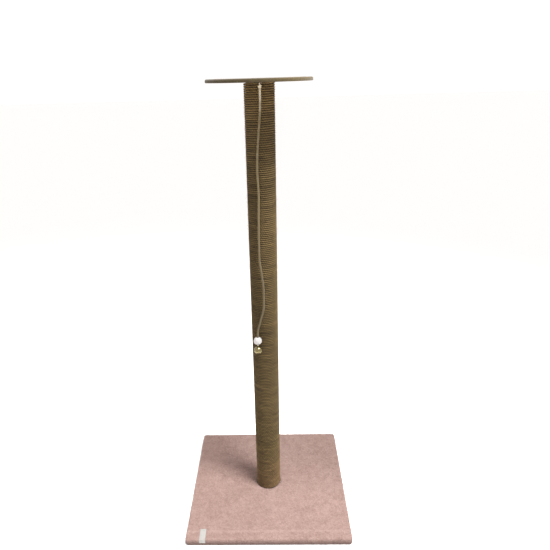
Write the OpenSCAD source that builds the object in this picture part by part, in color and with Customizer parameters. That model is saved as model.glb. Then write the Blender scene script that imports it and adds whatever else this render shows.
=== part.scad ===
// Cat scratching post: a plush-covered square base, a tall tube wound with sisal rope,
// a felt-topped perch shaped like a cat's head, and a ball and bell on a hanging cord.
// Millimetres, +Z up, origin on the floor under the middle of the base, front towards -Y.

/* [Base] */
// Width and depth of the covered base
base_side = 600; // [500:10:700]
// Corner radius of the covered base, seen from above
base_corner_r = 9; // [8:0.5:40]
// Thickness of the chipboard panel
base_board_t = 18; // [15:1:25]
// Thickness of the plush cover on the top and the sides
plush_t = 6; // [4:0.5:7]
// Radius of the plush cover's top edge
cover_edge_r = 6; // [4:0.5:8]
// Radius of the plush cover's bottom edge
cover_hem_r = 3; // [2:0.5:5]
// Width of the plush turned under the panel
cover_return_w = 45; // [30:1:70]
// Thickness of the plush turned under the panel
cover_return_t = 3; // [2:0.25:3.5]
// Thickness of the plush squeezed under the post
crushed_t = 2; // [1:0.25:3]
// Diameter of a foot pad
pad_d = 40; // [25:1:60]
// Height of a foot pad
pad_h = 4; // [4:0.5:8]
// Gap between a foot pad and the turned-under plush
pad_gap = 10; // [4:1:30]
// Staples along each side of the cover
staples_per_side = 5; // [3:1:8]
// Width of a cover staple
staple_w = 10; // [8:1:14]
// Length of a cover staple's legs
staple_leg = 8; // [6:0.5:12]
// Wire width of a cover staple
staple_wire = 1.2; // [0.8:0.1:1.6]

/* [Tag] */
// Width of the blank woven tag
tag_w = 22; // [15:1:40]
// Length of the tag on top of the base
tag_top_len = 49; // [25:1:60]
// Length of the tag down the front of the base
tag_front_len = 9; // [6:1:12]
// Thickness of the tag
tag_t = 0.8; // [0.5:0.1:1.2]
// Distance of the tag's centre line from the left side of the base
tag_from_left = 60; // [45:1:200]

/* [Post] */
// Height of the post between the plush and the perch
post_h = 1510; // [1100:10:1700]
// Inner diameter of the cardboard tube
tube_bore = 75; // [60:1:90]
// Wall of the cardboard tube
tube_wall = 3; // [2.5:0.25:5]
// Thickness of the wooden plug in each end of the tube
plug_t = 18; // [15:1:28]
// Clearance between a plug and the tube
plug_clear = 0.2; // [0.1:0.05:0.4]
// Brads that fix each plug
brads_per_plug = 6; // [3:1:8]
// Diameter of a brad
brad_d = 1.8; // [1.2:0.1:2.4]
// Length of a brad
brad_len = 16; // [12:1:24]

/* [Sisal rope] */
// Diameter of the rope
rope_d = 6; // [5:0.5:8]
// Gap between neighbouring turns of the rope
turn_gap = 0.5; // [0.45:0.05:1]
// Gap between the rope's centre line and a tight wrap on the tube
wrap_gap = 0.5; // [0.45:0.05:0.8]
// Turns shown one by one at each end of the post
end_turns = 12; // [4:1:12]
// Diameter of the head of a rope tack
tack_head_d = 5; // [4:0.5:6]
// Thickness of the head of a rope tack
tack_head_t = 1; // [0.6:0.1:1.2]
// Diameter of the shank of a rope tack
tack_d = 1.6; // [1.2:0.1:2]
// Depth of a rope tack in the plug
tack_bite = 6; // [4:1:12]

/* [Perch] */
// Radius of the round part of the perch
perch_r = 160; // [140:1:190]
// Thickness of the perch panel
perch_board_t = 8; // [7.5:0.5:14]
// Thickness of the felt on the perch's top and rim
felt_t = 2; // [1.5:0.25:4]
// Distance of an ear's tip from the perch's centre
ear_reach = 223; // [215:1:260]
// Angle of an ear's tip from straight back
ear_turn = 42; // [36:1:50]
// Angle that an ear leans back from pointing straight out
ear_lean = 7; // [0:1:12]
// Opening angle of an ear
ear_angle = 55; // [45:1:65]
// Radius of an ear's tip
ear_tip_r = 7; // [5:0.5:12]

/* [Fasteners] */
// Thread diameter of the base bolt
base_bolt_d = 8; // [6:1:10]
// Length of the base bolt under its head
base_bolt_len = 40; // [36:1:60]
// Outer diameter of the base washer
base_washer_d = 24; // [20:1:30]
// Thickness of the base washer
base_washer_t = 2; // [1.5:0.1:2.5]
// Thread diameter of the perch bolt
perch_bolt_d = 6; // [5:0.5:6]
// Length of the perch bolt under its head
perch_bolt_len = 35; // [30:1:50]
// Outer diameter of the perch washer
perch_washer_d = 12; // [11.5:0.5:14]
// Thickness of the perch washer
perch_washer_t = 1.6; // [1:0.1:1.8]
// Depth of the perch bolt's recess in the panel
perch_recess = 4; // [3.5:0.25:5.5]
// Length of the barrel of a pronged nut
nut_barrel_len = 10; // [8:0.5:12]
// Wall of the barrel of a pronged nut
nut_wall = 1; // [0.8:0.1:1.5]
// Diameter of the flange of a pronged nut
nut_flange_d = 20; // [18:1:26]
// Thickness of the flange of a pronged nut
nut_flange_t = 1.5; // [1:0.1:2]
// Radial clearance of a bolt in a panel or a plug
bolt_clear = 0.5; // [0.3:0.1:1]
// Radial clearance of a bolt in its nut, and of a brad or a barrel in its hole
close_fit = 0.05; // [0.03:0.01:0.1]

/* [Toy] */
// Diameter of the toy's cord
toy_cord_d = 7; // [5:0.5:7.5]
// Diameter of the toy's ball
ball_d = 28.5; // [27:0.5:34]
// Diameter of the bell
bell_d = 28; // [25:0.5:29]
// Wall of the bell
bell_wall = 0.7; // [0.5:0.1:1]
// Width of the crimped rim around the bell
bell_rim_w = 0.7; // [0.4:0.1:1]
// Height of the crimped rim around the bell
bell_rim_t = 1.6; // [1.2:0.1:2]
// Width of the slots in the bell
bell_slot_w = 2; // [1.5:0.1:2.5]
// Diameter of the pellet in the bell
pellet_d = 6; // [5:0.5:7]
// Wire diameter of the staple under the perch
hook_wire = 2; // [1.6:0.1:2.4]
// Width of the staple under the perch, between its legs' centres
hook_w = 10; // [9:0.5:14]
// Drop of the staple's crown below the perch
hook_drop = 5; // [4.75:0.25:6]
// Depth of the staple's legs in the perch
hook_bite = 6; // [5:0.5:7]
// Radius of the knot that hangs from the staple
top_knot_r = 4.5; // [3.5:0.25:4.75]
// Radius of the knot that carries the ball
end_knot_r = 4.5; // [3.5:0.25:4.75]

/* [Hidden] */
$fn = 64;
small_fn = 24;
wire_fn = 32;
perch_fn = 96;
eps = 0.01;
over = 1;

// Heights of the base
cover_z0 = pad_h - cover_return_t;
board_top = pad_h + base_board_t;
pile_top = board_top + plush_t;
post_z0 = board_top + crushed_t;
perch_z = pile_top + post_h;

// The base in plan
board_side = base_side - 2 * plush_t;
board_corner_r = base_corner_r - plush_t;
opening_side = board_side - 2 * cover_return_w;
pad_at = opening_side / 2 - pad_gap - pad_d / 2;
staple_row = board_side / 2 - cover_return_w / 2;
staple_crown_t = 0.7;
tag_gap = 0.2;
hull_fn = 32;

// Radii of the post and of the rope on it
tube_or = tube_bore / 2 + tube_wall;
plug_r = tube_bore / 2 - plug_clear;
rope_r = rope_d / 2;
wrap_r = tube_or + rope_r + wrap_gap;
rope_out = wrap_r + rope_r;
pitch = rope_d + turn_gap;
sleeve_clear = 0.1;
recess_clear = 1.5;

// Heights of the rope's stretches
rope_end_gap = 0.3;
lower_wrap_z = post_z0 + rope_end_gap + rope_r;
upper_wrap_end = perch_z - rope_end_gap - rope_r;
upper_wrap_z = upper_wrap_end - end_turns * pitch;
sleeve_z0 = lower_wrap_z + end_turns * pitch + rope_r + turn_gap;
sleeve_z1 = upper_wrap_z - rope_r - turn_gap;

// Heights of the brads, as a share of the plug's thickness
brad_share = 0.6;
lower_brads_z = post_z0 + plug_t * brad_share;
upper_brads_z = perch_z - plug_t * brad_share;
brad_inset = 0.3;

// The winding starts at the right-hand side of the post
wrap_start = -10;
ring_steps = 24;
rope_sides = 6;

// Base bolt: its head and washer sit in a recess under the panel
base_washer_gap = 1;
base_recess_r = base_washer_d / 2 + base_washer_gap;
base_head_h = 5.3;
base_head_af = 13 * base_bolt_d / 8;
base_head_sunk = 0.7;
base_seat_z = pad_h + base_head_sunk + base_head_h + base_washer_t;
base_nut_z = post_z0 + plug_t;

// Perch bolt: its head and washer sit in a recess under the felt's hole
perch_washer_gap = 0.5;
perch_recess_r = perch_washer_d / 2 + perch_washer_gap;
perch_seat_z = perch_z + perch_board_t - perch_recess;
perch_head_h = 3.3;
perch_head_r = 5.25;
perch_key_af = 4;
perch_key_depth = 2;
perch_nut_z = perch_z - plug_t;
prong_w = 3;
prong_t = 0.8;
prong_len = 6;
prong_inset = 0.5;

// Toy: the first way point starts under the top knot, the last ends inside the end knot.
// Each way point is [sideways, distance in front of the rope's face, drop below the perch].
toy_route = [[3, 13, 16], [3, 13, 32], [3, 13, 48], [2, 12, 75], [0, 11, 102], [-3, 10, 130],
    [-7, 9, 173], [-10, 9, 217], [-11, 9, 262], [-9, 8, 308], [-9, 8, 340], [-10, 8, 370],
    [-11, 8, 410], [-12, 8, 450], [-12, 9, 490], [-12, 9, 535], [-8, 10, 570], [-4, 10, 605],
    [-1, 11, 635], [-1, 11, 660], [-1, 12, 688], [-3, 12, 715], [-10, 13, 743], [-17, 14, 768],
    [-21, 15, 782], [-24, 15.5, 796], [-25, 15.5, 808], [-25, 15.5, 820], [-25, 15.5, 836]];
cord_ring_every = 14;
cord_sides = 8;
cord_sink = 1.8;
hook_x = toy_route[0][0];
hook_y = -(rope_out + toy_route[0][1]);
hook_bend = 2;
loop_wire_r = 1.5;
loop_r = 3.2;
loop_sag = 0.4;
loop_sink = 3.8;
top_knot_z = perch_z - hook_drop - loop_sag - loop_r - loop_wire_r + loop_sink - top_knot_r;

// Toy: ball, knot and bell, each placed from the cord's end
toy_last = toy_route[len(toy_route) - 1];
toy_x = toy_last[0];
toy_y = -(rope_out + toy_last[1]);
end_knot_top = perch_z - toy_last[2] + cord_sink;
end_knot_z = end_knot_top - end_knot_r;
ball_seat = 2.4;
ball_seat_gap = 0.3;
ball_z = end_knot_top + ball_seat_gap + ball_seat;
ball_bore_clear = 0.5;
ball_recess_clear = 2;
string_r = 1;
string_loop_r = 3.8;
string_sink = 1.6;
bell_hang_z = end_knot_z - end_knot_r + string_sink - string_r - 2 * string_loop_r;
eye_r = 2.4;
eye_wire_r = 0.7;
eye_slack = 0.2;
eye_drop = eye_r - eye_wire_r - string_r - eye_slack;
eye_z = bell_hang_z - eye_drop;
bell_neck = 0.2;
bell_z = eye_z - eye_r - eye_wire_r - bell_neck - bell_d / 2;
bell_in_r = bell_d / 2 - bell_wall;
eye_stem_r = 0.9;
eye_disc_t = 0.8;
eye_disc_gap = 0.4;
slot_reach = 0.8 * bell_in_r;
slot_depth = 0.25 * bell_d;
pellet_gap = 0.3;
pellet_z = bell_z - bell_in_r + pellet_gap + pellet_d / 2;

// Colours
wood_c = [0.78, 0.66, 0.48];
plush_c = [0.80, 0.68, 0.64];
sisal_c = [0.44, 0.35, 0.22];
felt_c = [0.74, 0.72, 0.68];
steel_c = [0.70, 0.71, 0.73];
card_c = [0.66, 0.52, 0.36];
cord_c = [0.72, 0.64, 0.48];
brass_c = [0.80, 0.68, 0.36];

// Points of a helix from angle a0 and height z0, with a straight end of one rope diameter each way
function helix_at(a0, z0, i) = [
    wrap_r * cos(a0 + 360 * i / ring_steps),
    wrap_r * sin(a0 + 360 * i / ring_steps),
    z0 + pitch * i / ring_steps
];
function helix_way(a) = let (rise = pitch / (2 * PI * wrap_r))
    [-sin(a), cos(a), rise] / norm([1, rise]);
function helix_path(a0, z0, turns) = let (last = turns * ring_steps) [
    helix_at(a0, z0, 0) - rope_d * helix_way(a0),
    for (i = [0 : last]) helix_at(a0, z0, i),
    helix_at(a0, z0, last) + rope_d * helix_way(a0)
];

// Least distance between a path and its own next turn, less the rope's diameter
function self_gap(path) = min([
    for (i = [0 : len(path) - 1], j = [i + ring_steps / 2 : i + 2 * ring_steps])
        if (j < len(path)) norm(path[i] - path[j])
]) - rope_d;

// A smooth curve through way points, with a ring about every cord_ring_every
function curve_at(p, i, t) = let (
    a = p[max(i - 1, 0)],
    b = p[i],
    c = p[i + 1],
    d = p[min(i + 2, len(p) - 1)]
) b + t * (c - a) / 2 + t * t * (a - 2.5 * b + 2 * c - d / 2) + t * t * t * (1.5 * (b - c) + (d - a) / 2);
function smooth_path(p) = [
    for (i = [0 : len(p) - 2])
        let (n = ceil(norm(p[i + 1] - p[i]) / cord_ring_every))
            for (k = [0 : n - 1]) curve_at(p, i, k / n),
    p[len(p) - 1]
];
function path_length(p) = let (steps = [for (i = [1 : len(p) - 1]) norm(p[i] - p[i - 1])])
    steps * [for (s = steps) 1];

// The toy cord's path in the part's frame
toy_path = smooth_path([for (w = toy_route) [w[0], -(rope_out + w[1]), perch_z - w[2]]]);

lower_path = helix_path(wrap_start, lower_wrap_z, end_turns);
upper_path = helix_path(wrap_start, upper_wrap_z, end_turns);
echo(least_gap_of_lower_winding = self_gap(lower_path));
echo(least_gap_of_upper_winding = self_gap(upper_path));
echo(toy_cord_length = path_length(toy_path), toy_cord_rings = len(toy_path));
echo(turns_on_the_post = (perch_z - post_z0) / pitch);

// Direction of a path at point i, and a direction square to it and to a reference
function way_at(path, i) = let (w = path[min(i + 1, len(path) - 1)] - path[max(i - 1, 0)]) w / norm(w);
function square_to(reference, way) = let (c = cross(reference, way)) c / norm(c);

// One closed tube of triangles along a path. Its sides keep in line with facing,
// or with the direction away from the post where facing is zero
module swept_tube(path, r, sides, facing) {
    last = len(path) - 1;
    points = [
        for (i = [0 : last])
            let (
                way = way_at(path, i),
                reference = norm(facing) > 0 ? facing : [path[i][0], path[i][1], 0],
                across = square_to(reference, way),
                out = cross(way, across)
            )
                for (k = [0 : sides - 1])
                    let (a = 360 * k / sides) path[i] + r * (out * cos(a) + across * sin(a)),
        path[0],
        path[last]
    ];
    tail = (last + 1) * sides;
    faces = [
        for (i = [0 : last - 1], k = [0 : sides - 1])
            each [
                [i * sides + k, (i + 1) * sides + k, i * sides + (k + 1) % sides],
                [i * sides + (k + 1) % sides, (i + 1) * sides + k, (i + 1) * sides + (k + 1) % sides]
            ],
        for (k = [0 : sides - 1]) [tail, k, (k + 1) % sides],
        for (k = [0 : sides - 1]) [tail + 1, last * sides + (k + 1) % sides, last * sides + k]
    ];
    polyhedron(points = points, faces = faces, convexity = 10);
}

module rounded_square(side, r) {
    union() {
        square([side, side - 2 * r], center = true);
        square([side - 2 * r, side], center = true);
        for (x = [-1, 1], y = [-1, 1])
            translate([x * (side / 2 - r), y * (side / 2 - r)]) circle(r = r);
    }
}

module ring_of_wire(r, wire_r) {
    rotate_extrude() translate([r, 0]) circle(r = wire_r, $fn = wire_fn);
}

// Points of an arc in n steps from angle a0 to a1 about centre c
function arc(c, r, a0, a1, n) = [
    for (i = [0 : n]) let (a = a0 + (a1 - a0) * i / n) c + r * [cos(a), sin(a)]
];

// The puck under one corner of the plush cover: its hull with three others makes the cover
module cover_corner() {
    rotate_extrude($fn = hull_fn)
        polygon(concat(
            [[0, cover_z0]],
            arc([base_corner_r - cover_hem_r, cover_z0 + cover_hem_r], cover_hem_r, -90, 0, 3),
            arc([base_corner_r - cover_edge_r, pile_top - cover_edge_r], cover_edge_r, 0, 90, 5),
            [[0, pile_top]]
        ));
}

module cover_block() {
    hull()
        for (x = [-1, 1], y = [-1, 1])
            translate([x * (base_side / 2 - base_corner_r), y * (base_side / 2 - base_corner_r), 0])
                cover_corner();
}

// Side profile of the tag, with the base's front top edge at [0, 0], grown on its inside by grow
module tag_profile(grow) {
    in_r = cover_edge_r - tag_t - grow;
    union() {
        translate([cover_edge_r, -tag_t - grow]) square([tag_top_len - cover_edge_r, tag_t + grow]);
        translate([0, -cover_edge_r - tag_front_len]) square([tag_t + grow, tag_front_len]);
        intersection() {
            difference() {
                translate([cover_edge_r, -cover_edge_r]) circle(r = cover_edge_r);
                translate([cover_edge_r, -cover_edge_r]) circle(r = in_r);
            }
            translate([0, -cover_edge_r]) square([cover_edge_r, cover_edge_r]);
        }
    }
}

module tag_block(grow) {
    translate([-base_side / 2 + tag_from_left + tag_w / 2 + grow, -base_side / 2, pile_top])
        rotate([90, 0, -90])
            mirror([1, 0, 0])
                linear_extrude(height = tag_w + 2 * grow) tag_profile(grow);
}

module board_block() {
    translate([0, 0, pad_h]) linear_extrude(height = base_board_t) rounded_square(board_side, board_corner_r);
}

module base_board() {
    color(wood_c)
        difference() {
            board_block();
            translate([0, 0, pad_h - eps]) cylinder(r = base_recess_r, h = base_seat_z - pad_h + eps);
            translate([0, 0, pad_h]) cylinder(r = base_bolt_d / 2 + bolt_clear, h = base_board_t + eps);
        }
}

module base_cover() {
    color(plush_c)
        difference() {
            cover_block();
            board_block();
            translate([0, 0, cover_z0 - eps])
                linear_extrude(height = cover_return_t + over) rounded_square(opening_side, board_corner_r);
            translate([0, 0, post_z0]) cylinder(r = rope_out + recess_clear, h = plush_t);
            translate([0, 0, board_top - over]) cylinder(r = base_bolt_d / 2 + bolt_clear, h = plush_t);
            tag_block(tag_gap);
        }
}

module cover_staple() {
    translate([-staple_w / 2, -staple_wire / 2, cover_z0 - staple_crown_t / 2])
        cube([staple_w, staple_wire, staple_crown_t]);
    for (x = [-1, 1])
        translate([x * (staple_w - staple_crown_t) / 2 - staple_crown_t / 2, -staple_wire / 2, cover_z0])
            cube([staple_crown_t, staple_wire, staple_leg]);
}

module cover_staples() {
    step = (board_side - 2 * cover_return_w) / staples_per_side;
    color(steel_c)
        for (side = [0 : 3], i = [0 : staples_per_side - 1])
            rotate([0, 0, 90 * side])
                translate([(i - (staples_per_side - 1) / 2) * step, -staple_row, 0])
                    cover_staple();
}

module foot_pad(x, y) {
    color([0.25, 0.24, 0.23])
        translate([x * pad_at, y * pad_at, 0]) cylinder(d = pad_d, h = pad_h);
}

module woven_tag() {
    color([0.93, 0.92, 0.89]) tag_block(0);
}

module washer(outer_d, bore_d, t) {
    difference() {
        cylinder(d = outer_d, h = t);
        translate([0, 0, -eps]) cylinder(d = bore_d, h = t + 2 * eps);
    }
}

module base_bolt() {
    color(steel_c)
        translate([0, 0, base_seat_z - base_washer_t]) {
            translate([0, 0, -base_head_h / 2]) cylinder(d = base_bolt_d, h = base_bolt_len + base_head_h / 2);
            translate([0, 0, -base_head_h]) cylinder(d = base_head_af / cos(30), h = base_head_h, $fn = 6);
        }
}

module base_washer() {
    color(steel_c)
        translate([0, 0, base_seat_z - base_washer_t])
            washer(base_washer_d, base_bolt_d + 2 * close_fit, base_washer_t);
}

// A ring of brads, or of their holes, that point at the post's axis
module brad_ring(z, d, len) {
    for (i = [0 : brads_per_plug - 1])
        rotate([0, 0, 360 * (i + 0.5) / brads_per_plug])
            translate([tube_or - brad_inset - brad_len, 0, z])
                rotate([0, 90, 0]) cylinder(d = d, h = len, $fn = small_fn);
}

module brad_holes(z) {
    brad_ring(z, brad_d + 2 * close_fit, brad_len + rope_d);
}

// The shank of a rope tack at the rope's end, made thicker by grow on every side
module tack_shank(z, grow) {
    inner = plug_r - tack_bite;
    rotate([0, 0, wrap_start])
        translate([inner - grow, 0, z])
            rotate([0, 90, 0])
                cylinder(d = tack_d + 2 * grow, h = rope_out - inner + tack_head_t / 2, $fn = small_fn);
}

module rope_tack(z) {
    color(steel_c) {
        tack_shank(z, 0);
        rotate([0, 0, wrap_start])
            translate([rope_out + close_fit, 0, z])
                rotate([0, 90, 0]) cylinder(d = tack_head_d, h = tack_head_t, $fn = wire_fn);
    }
}

module post_tube() {
    color(card_c)
        difference() {
            translate([0, 0, post_z0]) cylinder(r = tube_or, h = perch_z - post_z0);
            translate([0, 0, post_z0 - eps]) cylinder(d = tube_bore, h = perch_z - post_z0 + 2 * eps);
            brad_holes(lower_brads_z);
            brad_holes(upper_brads_z);
            tack_shank(lower_wrap_z, close_fit);
            tack_shank(upper_wrap_end, close_fit);
        }
}

// A plug with its outer face at z = 0 and its nut's flange on its inner face at z = plug_t
module plug(bolt_d) {
    difference() {
        cylinder(r = plug_r, h = plug_t);
        translate([0, 0, -eps]) cylinder(r = bolt_d / 2 + bolt_clear, h = plug_t + 2 * eps);
        translate([0, 0, plug_t - nut_barrel_len - rope_end_gap])
            cylinder(r = bolt_d / 2 + close_fit + nut_wall + close_fit, h = nut_barrel_len + over);
    }
}

// A pronged nut whose flange lies on the plug's inner face at z = plug_t
module pronged_nut(bolt_d) {
    barrel_r = bolt_d / 2 + close_fit + nut_wall;
    difference() {
        union() {
            translate([0, 0, plug_t]) cylinder(d = nut_flange_d, h = nut_flange_t);
            translate([0, 0, plug_t - nut_barrel_len]) cylinder(r = barrel_r, h = nut_barrel_len + eps);
            for (a = [0 : 90 : 270])
                rotate([0, 0, a])
                    translate([nut_flange_d / 2 - prong_t - prong_inset, -prong_w / 2, plug_t - prong_len])
                        cube([prong_t, prong_w, prong_len + eps]);
        }
        translate([0, 0, -eps]) cylinder(r = bolt_d / 2 + close_fit, h = plug_t + nut_flange_t + over);
    }
}

module lower_plug() {
    color(wood_c)
        difference() {
            translate([0, 0, post_z0]) plug(base_bolt_d);
            brad_holes(lower_brads_z);
            tack_shank(lower_wrap_z, close_fit);
        }
}

module upper_plug() {
    color(wood_c)
        difference() {
            translate([0, 0, perch_z]) mirror([0, 0, 1]) plug(perch_bolt_d);
            brad_holes(upper_brads_z);
            tack_shank(upper_wrap_end, close_fit);
        }
}

module lower_plug_brads() {
    color(steel_c) brad_ring(lower_brads_z, brad_d, brad_len);
}

module upper_plug_brads() {
    color(steel_c) brad_ring(upper_brads_z, brad_d, brad_len);
}

module lower_nut() {
    color(steel_c) translate([0, 0, post_z0]) pronged_nut(base_bolt_d);
}

module upper_nut() {
    color(steel_c) translate([0, 0, perch_z]) mirror([0, 0, 1]) pronged_nut(perch_bolt_d);
}

module sisal_lower() {
    color(sisal_c) swept_tube(lower_path, rope_r, rope_sides, [0, 0, 0]);
}

// The turns between the two ends lie side by side, and are one sleeve of the same diameter
module sisal_middle() {
    color(sisal_c)
        difference() {
            translate([0, 0, sleeve_z0]) cylinder(r = rope_out, h = sleeve_z1 - sleeve_z0);
            translate([0, 0, sleeve_z0 - eps])
                cylinder(r = tube_or + sleeve_clear, h = sleeve_z1 - sleeve_z0 + 2 * eps);
        }
}

module sisal_upper() {
    color(sisal_c) swept_tube(upper_path, rope_r, rope_sides, [0, 0, 0]);
}

module lower_rope_tack() {
    rope_tack(lower_wrap_z);
}

module upper_rope_tack() {
    rope_tack(upper_wrap_end);
}

// Direction at an angle from straight back, turning to the right
function turned(a) = [sin(a), cos(a)];

// Outline of the right ear, its sides tangent to the round tip, moved in by inset
function ear_points(inset) = let (
    half = ear_angle / 2,
    axis = ear_turn - ear_lean,
    tip = (ear_reach - ear_tip_r) * turned(ear_turn),
    r = ear_tip_r - inset,
    side = ear_reach / 2
) [
    tip + r * turned(axis - 90 + half) + side * turned(axis + 180 + half),
    for (i = [0 : 8]) tip + r * turned(axis - (90 - half) + i * (180 - ear_angle) / 8),
    tip + r * turned(axis + 90 - half) + side * turned(axis + 180 - half)
];

// A slab with the perch's cat-head outline, moved in by inset
module head_slab(inset, h) {
    union() {
        cylinder(r = perch_r - inset, h = h, $fn = perch_fn);
        for (s = [0, 1])
            mirror([s, 0, 0]) linear_extrude(height = h) polygon(ear_points(inset));
    }
}

// Holes of the toy's staple, made wider by grow on every side
module hook_legs(grow) {
    for (x = [-1, 1])
        translate([hook_x + x * hook_w / 2, hook_y, perch_z - hook_drop + hook_bend])
            cylinder(d = hook_wire + 2 * grow, h = hook_drop - hook_bend + hook_bite + grow, $fn = small_fn);
}

module perch_board() {
    color(wood_c)
        difference() {
            translate([0, 0, perch_z]) head_slab(felt_t, perch_board_t);
            translate([0, 0, perch_z - eps])
                cylinder(r = perch_bolt_d / 2 + bolt_clear, h = perch_board_t + over);
            translate([0, 0, perch_seat_z]) cylinder(r = perch_recess_r, h = perch_recess + over);
            hook_legs(close_fit);
        }
}

module perch_felt() {
    color(felt_c)
        difference() {
            translate([0, 0, perch_z]) head_slab(0, perch_board_t + felt_t);
            translate([0, 0, perch_z - over]) head_slab(felt_t, perch_board_t + over);
            translate([0, 0, perch_z]) cylinder(r = perch_recess_r, h = perch_board_t + felt_t + over);
        }
}

module perch_bolt() {
    top = perch_seat_z + perch_washer_t;
    color([0.16, 0.16, 0.17])
        difference() {
            union() {
                translate([0, 0, top - perch_bolt_len]) cylinder(d = perch_bolt_d, h = perch_bolt_len + eps);
                translate([0, 0, top]) cylinder(r = perch_head_r, h = perch_head_h);
            }
            translate([0, 0, top + perch_head_h - perch_key_depth])
                cylinder(d = perch_key_af / cos(30), h = perch_key_depth + over, $fn = 6);
        }
}

module perch_washer() {
    color([0.16, 0.16, 0.17])
        translate([0, 0, perch_seat_z])
            washer(perch_washer_d, perch_bolt_d + 2 * close_fit, perch_washer_t);
}

module toy_staple() {
    crown = hook_w / 2 - hook_bend;
    color(steel_c)
        union() {
            hook_legs(0);
            translate([hook_x - crown, hook_y, perch_z - hook_drop])
                rotate([0, 90, 0]) cylinder(d = hook_wire, h = 2 * crown, $fn = small_fn);
            translate([hook_x, hook_y, perch_z - hook_drop + hook_bend])
                for (s = [0, 1])
                    mirror([s, 0, 0])
                        translate([crown, 0, 0])
                            rotate([90, 0, 0])
                                rotate([0, 0, -90])
                                    rotate_extrude(angle = 90)
                                        translate([hook_bend, 0]) circle(d = hook_wire, $fn = small_fn);
        }
}

module toy_top_knot() {
    color([0.93, 0.90, 0.82]) {
        translate([hook_x, hook_y, perch_z - hook_drop - loop_sag])
            rotate([0, 90, 0]) ring_of_wire(loop_r, loop_wire_r);
        translate([hook_x, hook_y, top_knot_z]) sphere(r = top_knot_r);
    }
}

module toy_cord() {
    color(cord_c) swept_tube(toy_path, toy_cord_d / 2, cord_sides, [0, 1, 0]);
}

module toy_ball() {
    seat_z = ball_z - ball_seat;
    color([0.96, 0.95, 0.93])
        difference() {
            translate([toy_x, toy_y, ball_z]) sphere(d = ball_d);
            translate([toy_x, toy_y, seat_z - eps])
                cylinder(d = toy_cord_d + 2 * ball_bore_clear, h = ball_d);
            translate([toy_x, toy_y, seat_z - ball_d])
                cylinder(r = end_knot_r + ball_recess_clear, h = ball_d);
        }
}

module toy_end_knot() {
    color(cord_c) {
        translate([toy_x, toy_y, end_knot_z]) sphere(r = end_knot_r);
        translate([toy_x, toy_y, bell_hang_z + string_loop_r])
            rotate([0, 90, 0]) ring_of_wire(string_loop_r, string_r);
    }
}

module bell_eye() {
    stem_top = eye_z - eye_r;
    disc_z = bell_z + bell_d / 2 - bell_wall - eye_disc_gap - eye_disc_t;
    color(brass_c)
        union() {
            translate([toy_x, toy_y, eye_z]) rotate([90, 0, 0]) ring_of_wire(eye_r, eye_wire_r);
            translate([toy_x, toy_y, disc_z])
                cylinder(r = eye_stem_r, h = stem_top - disc_z, $fn = small_fn);
            translate([toy_x, toy_y, disc_z])
                cylinder(r = 2 * eye_stem_r, h = eye_disc_t, $fn = small_fn);
        }
}

// A half shell of the bell about the origin, open downwards, with half of the crimped rim
module bell_half() {
    rim_r = bell_d / 2 + bell_rim_w;
    difference() {
        union() {
            sphere(d = bell_d);
            cylinder(r = rim_r, h = bell_rim_t / 2);
        }
        sphere(r = bell_in_r);
        translate([0, 0, -bell_d]) cylinder(r = bell_d, h = bell_d);
    }
}

module bell_top() {
    color(brass_c)
        translate([toy_x, toy_y, bell_z])
            difference() {
                bell_half();
                cylinder(r = eye_stem_r + close_fit, h = bell_d, $fn = small_fn);
            }
}

module bell_bottom() {
    color(brass_c)
        translate([toy_x, toy_y, bell_z])
            difference() {
                mirror([0, 0, 1]) bell_half();
                for (a = [0, 90])
                    rotate([0, 0, a]) {
                        translate([-slot_reach, -bell_slot_w / 2, -bell_d])
                            cube([2 * slot_reach, bell_slot_w, bell_d - slot_depth]);
                        for (x = [-1, 1])
                            translate([x * slot_reach, 0, -bell_d])
                                cylinder(d = 2 * bell_slot_w, h = bell_d, $fn = small_fn);
                    }
            }
}

module bell_pellet() {
    color(steel_c) translate([toy_x, toy_y, pellet_z]) sphere(d = pellet_d);
}

base_board();
base_cover();
cover_staples();
foot_pad(-1, -1);  // foot_pad_front_left
foot_pad(1, -1);  // foot_pad_front_right
foot_pad(-1, 1);  // foot_pad_rear_left
foot_pad(1, 1);  // foot_pad_rear_right
woven_tag();
base_bolt();
base_washer();
post_tube();
lower_plug();
upper_plug();
lower_plug_brads();
upper_plug_brads();
lower_nut();
upper_nut();
sisal_lower();
sisal_middle();
sisal_upper();
lower_rope_tack();
upper_rope_tack();
perch_board();
perch_felt();
perch_bolt();
perch_washer();
toy_staple();
toy_top_knot();
toy_cord();
toy_ball();
toy_end_knot();
bell_eye();
bell_top();
bell_bottom();
bell_pellet();
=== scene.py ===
"""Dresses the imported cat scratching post: plush, rope, felt, cord, hardware and a plain studio."""
import math

import bmesh
import bpy
import numpy as np
from bpy.props import FloatProperty, FloatVectorProperty, IntProperty, PointerProperty
from mathutils import Matrix, Vector


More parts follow.
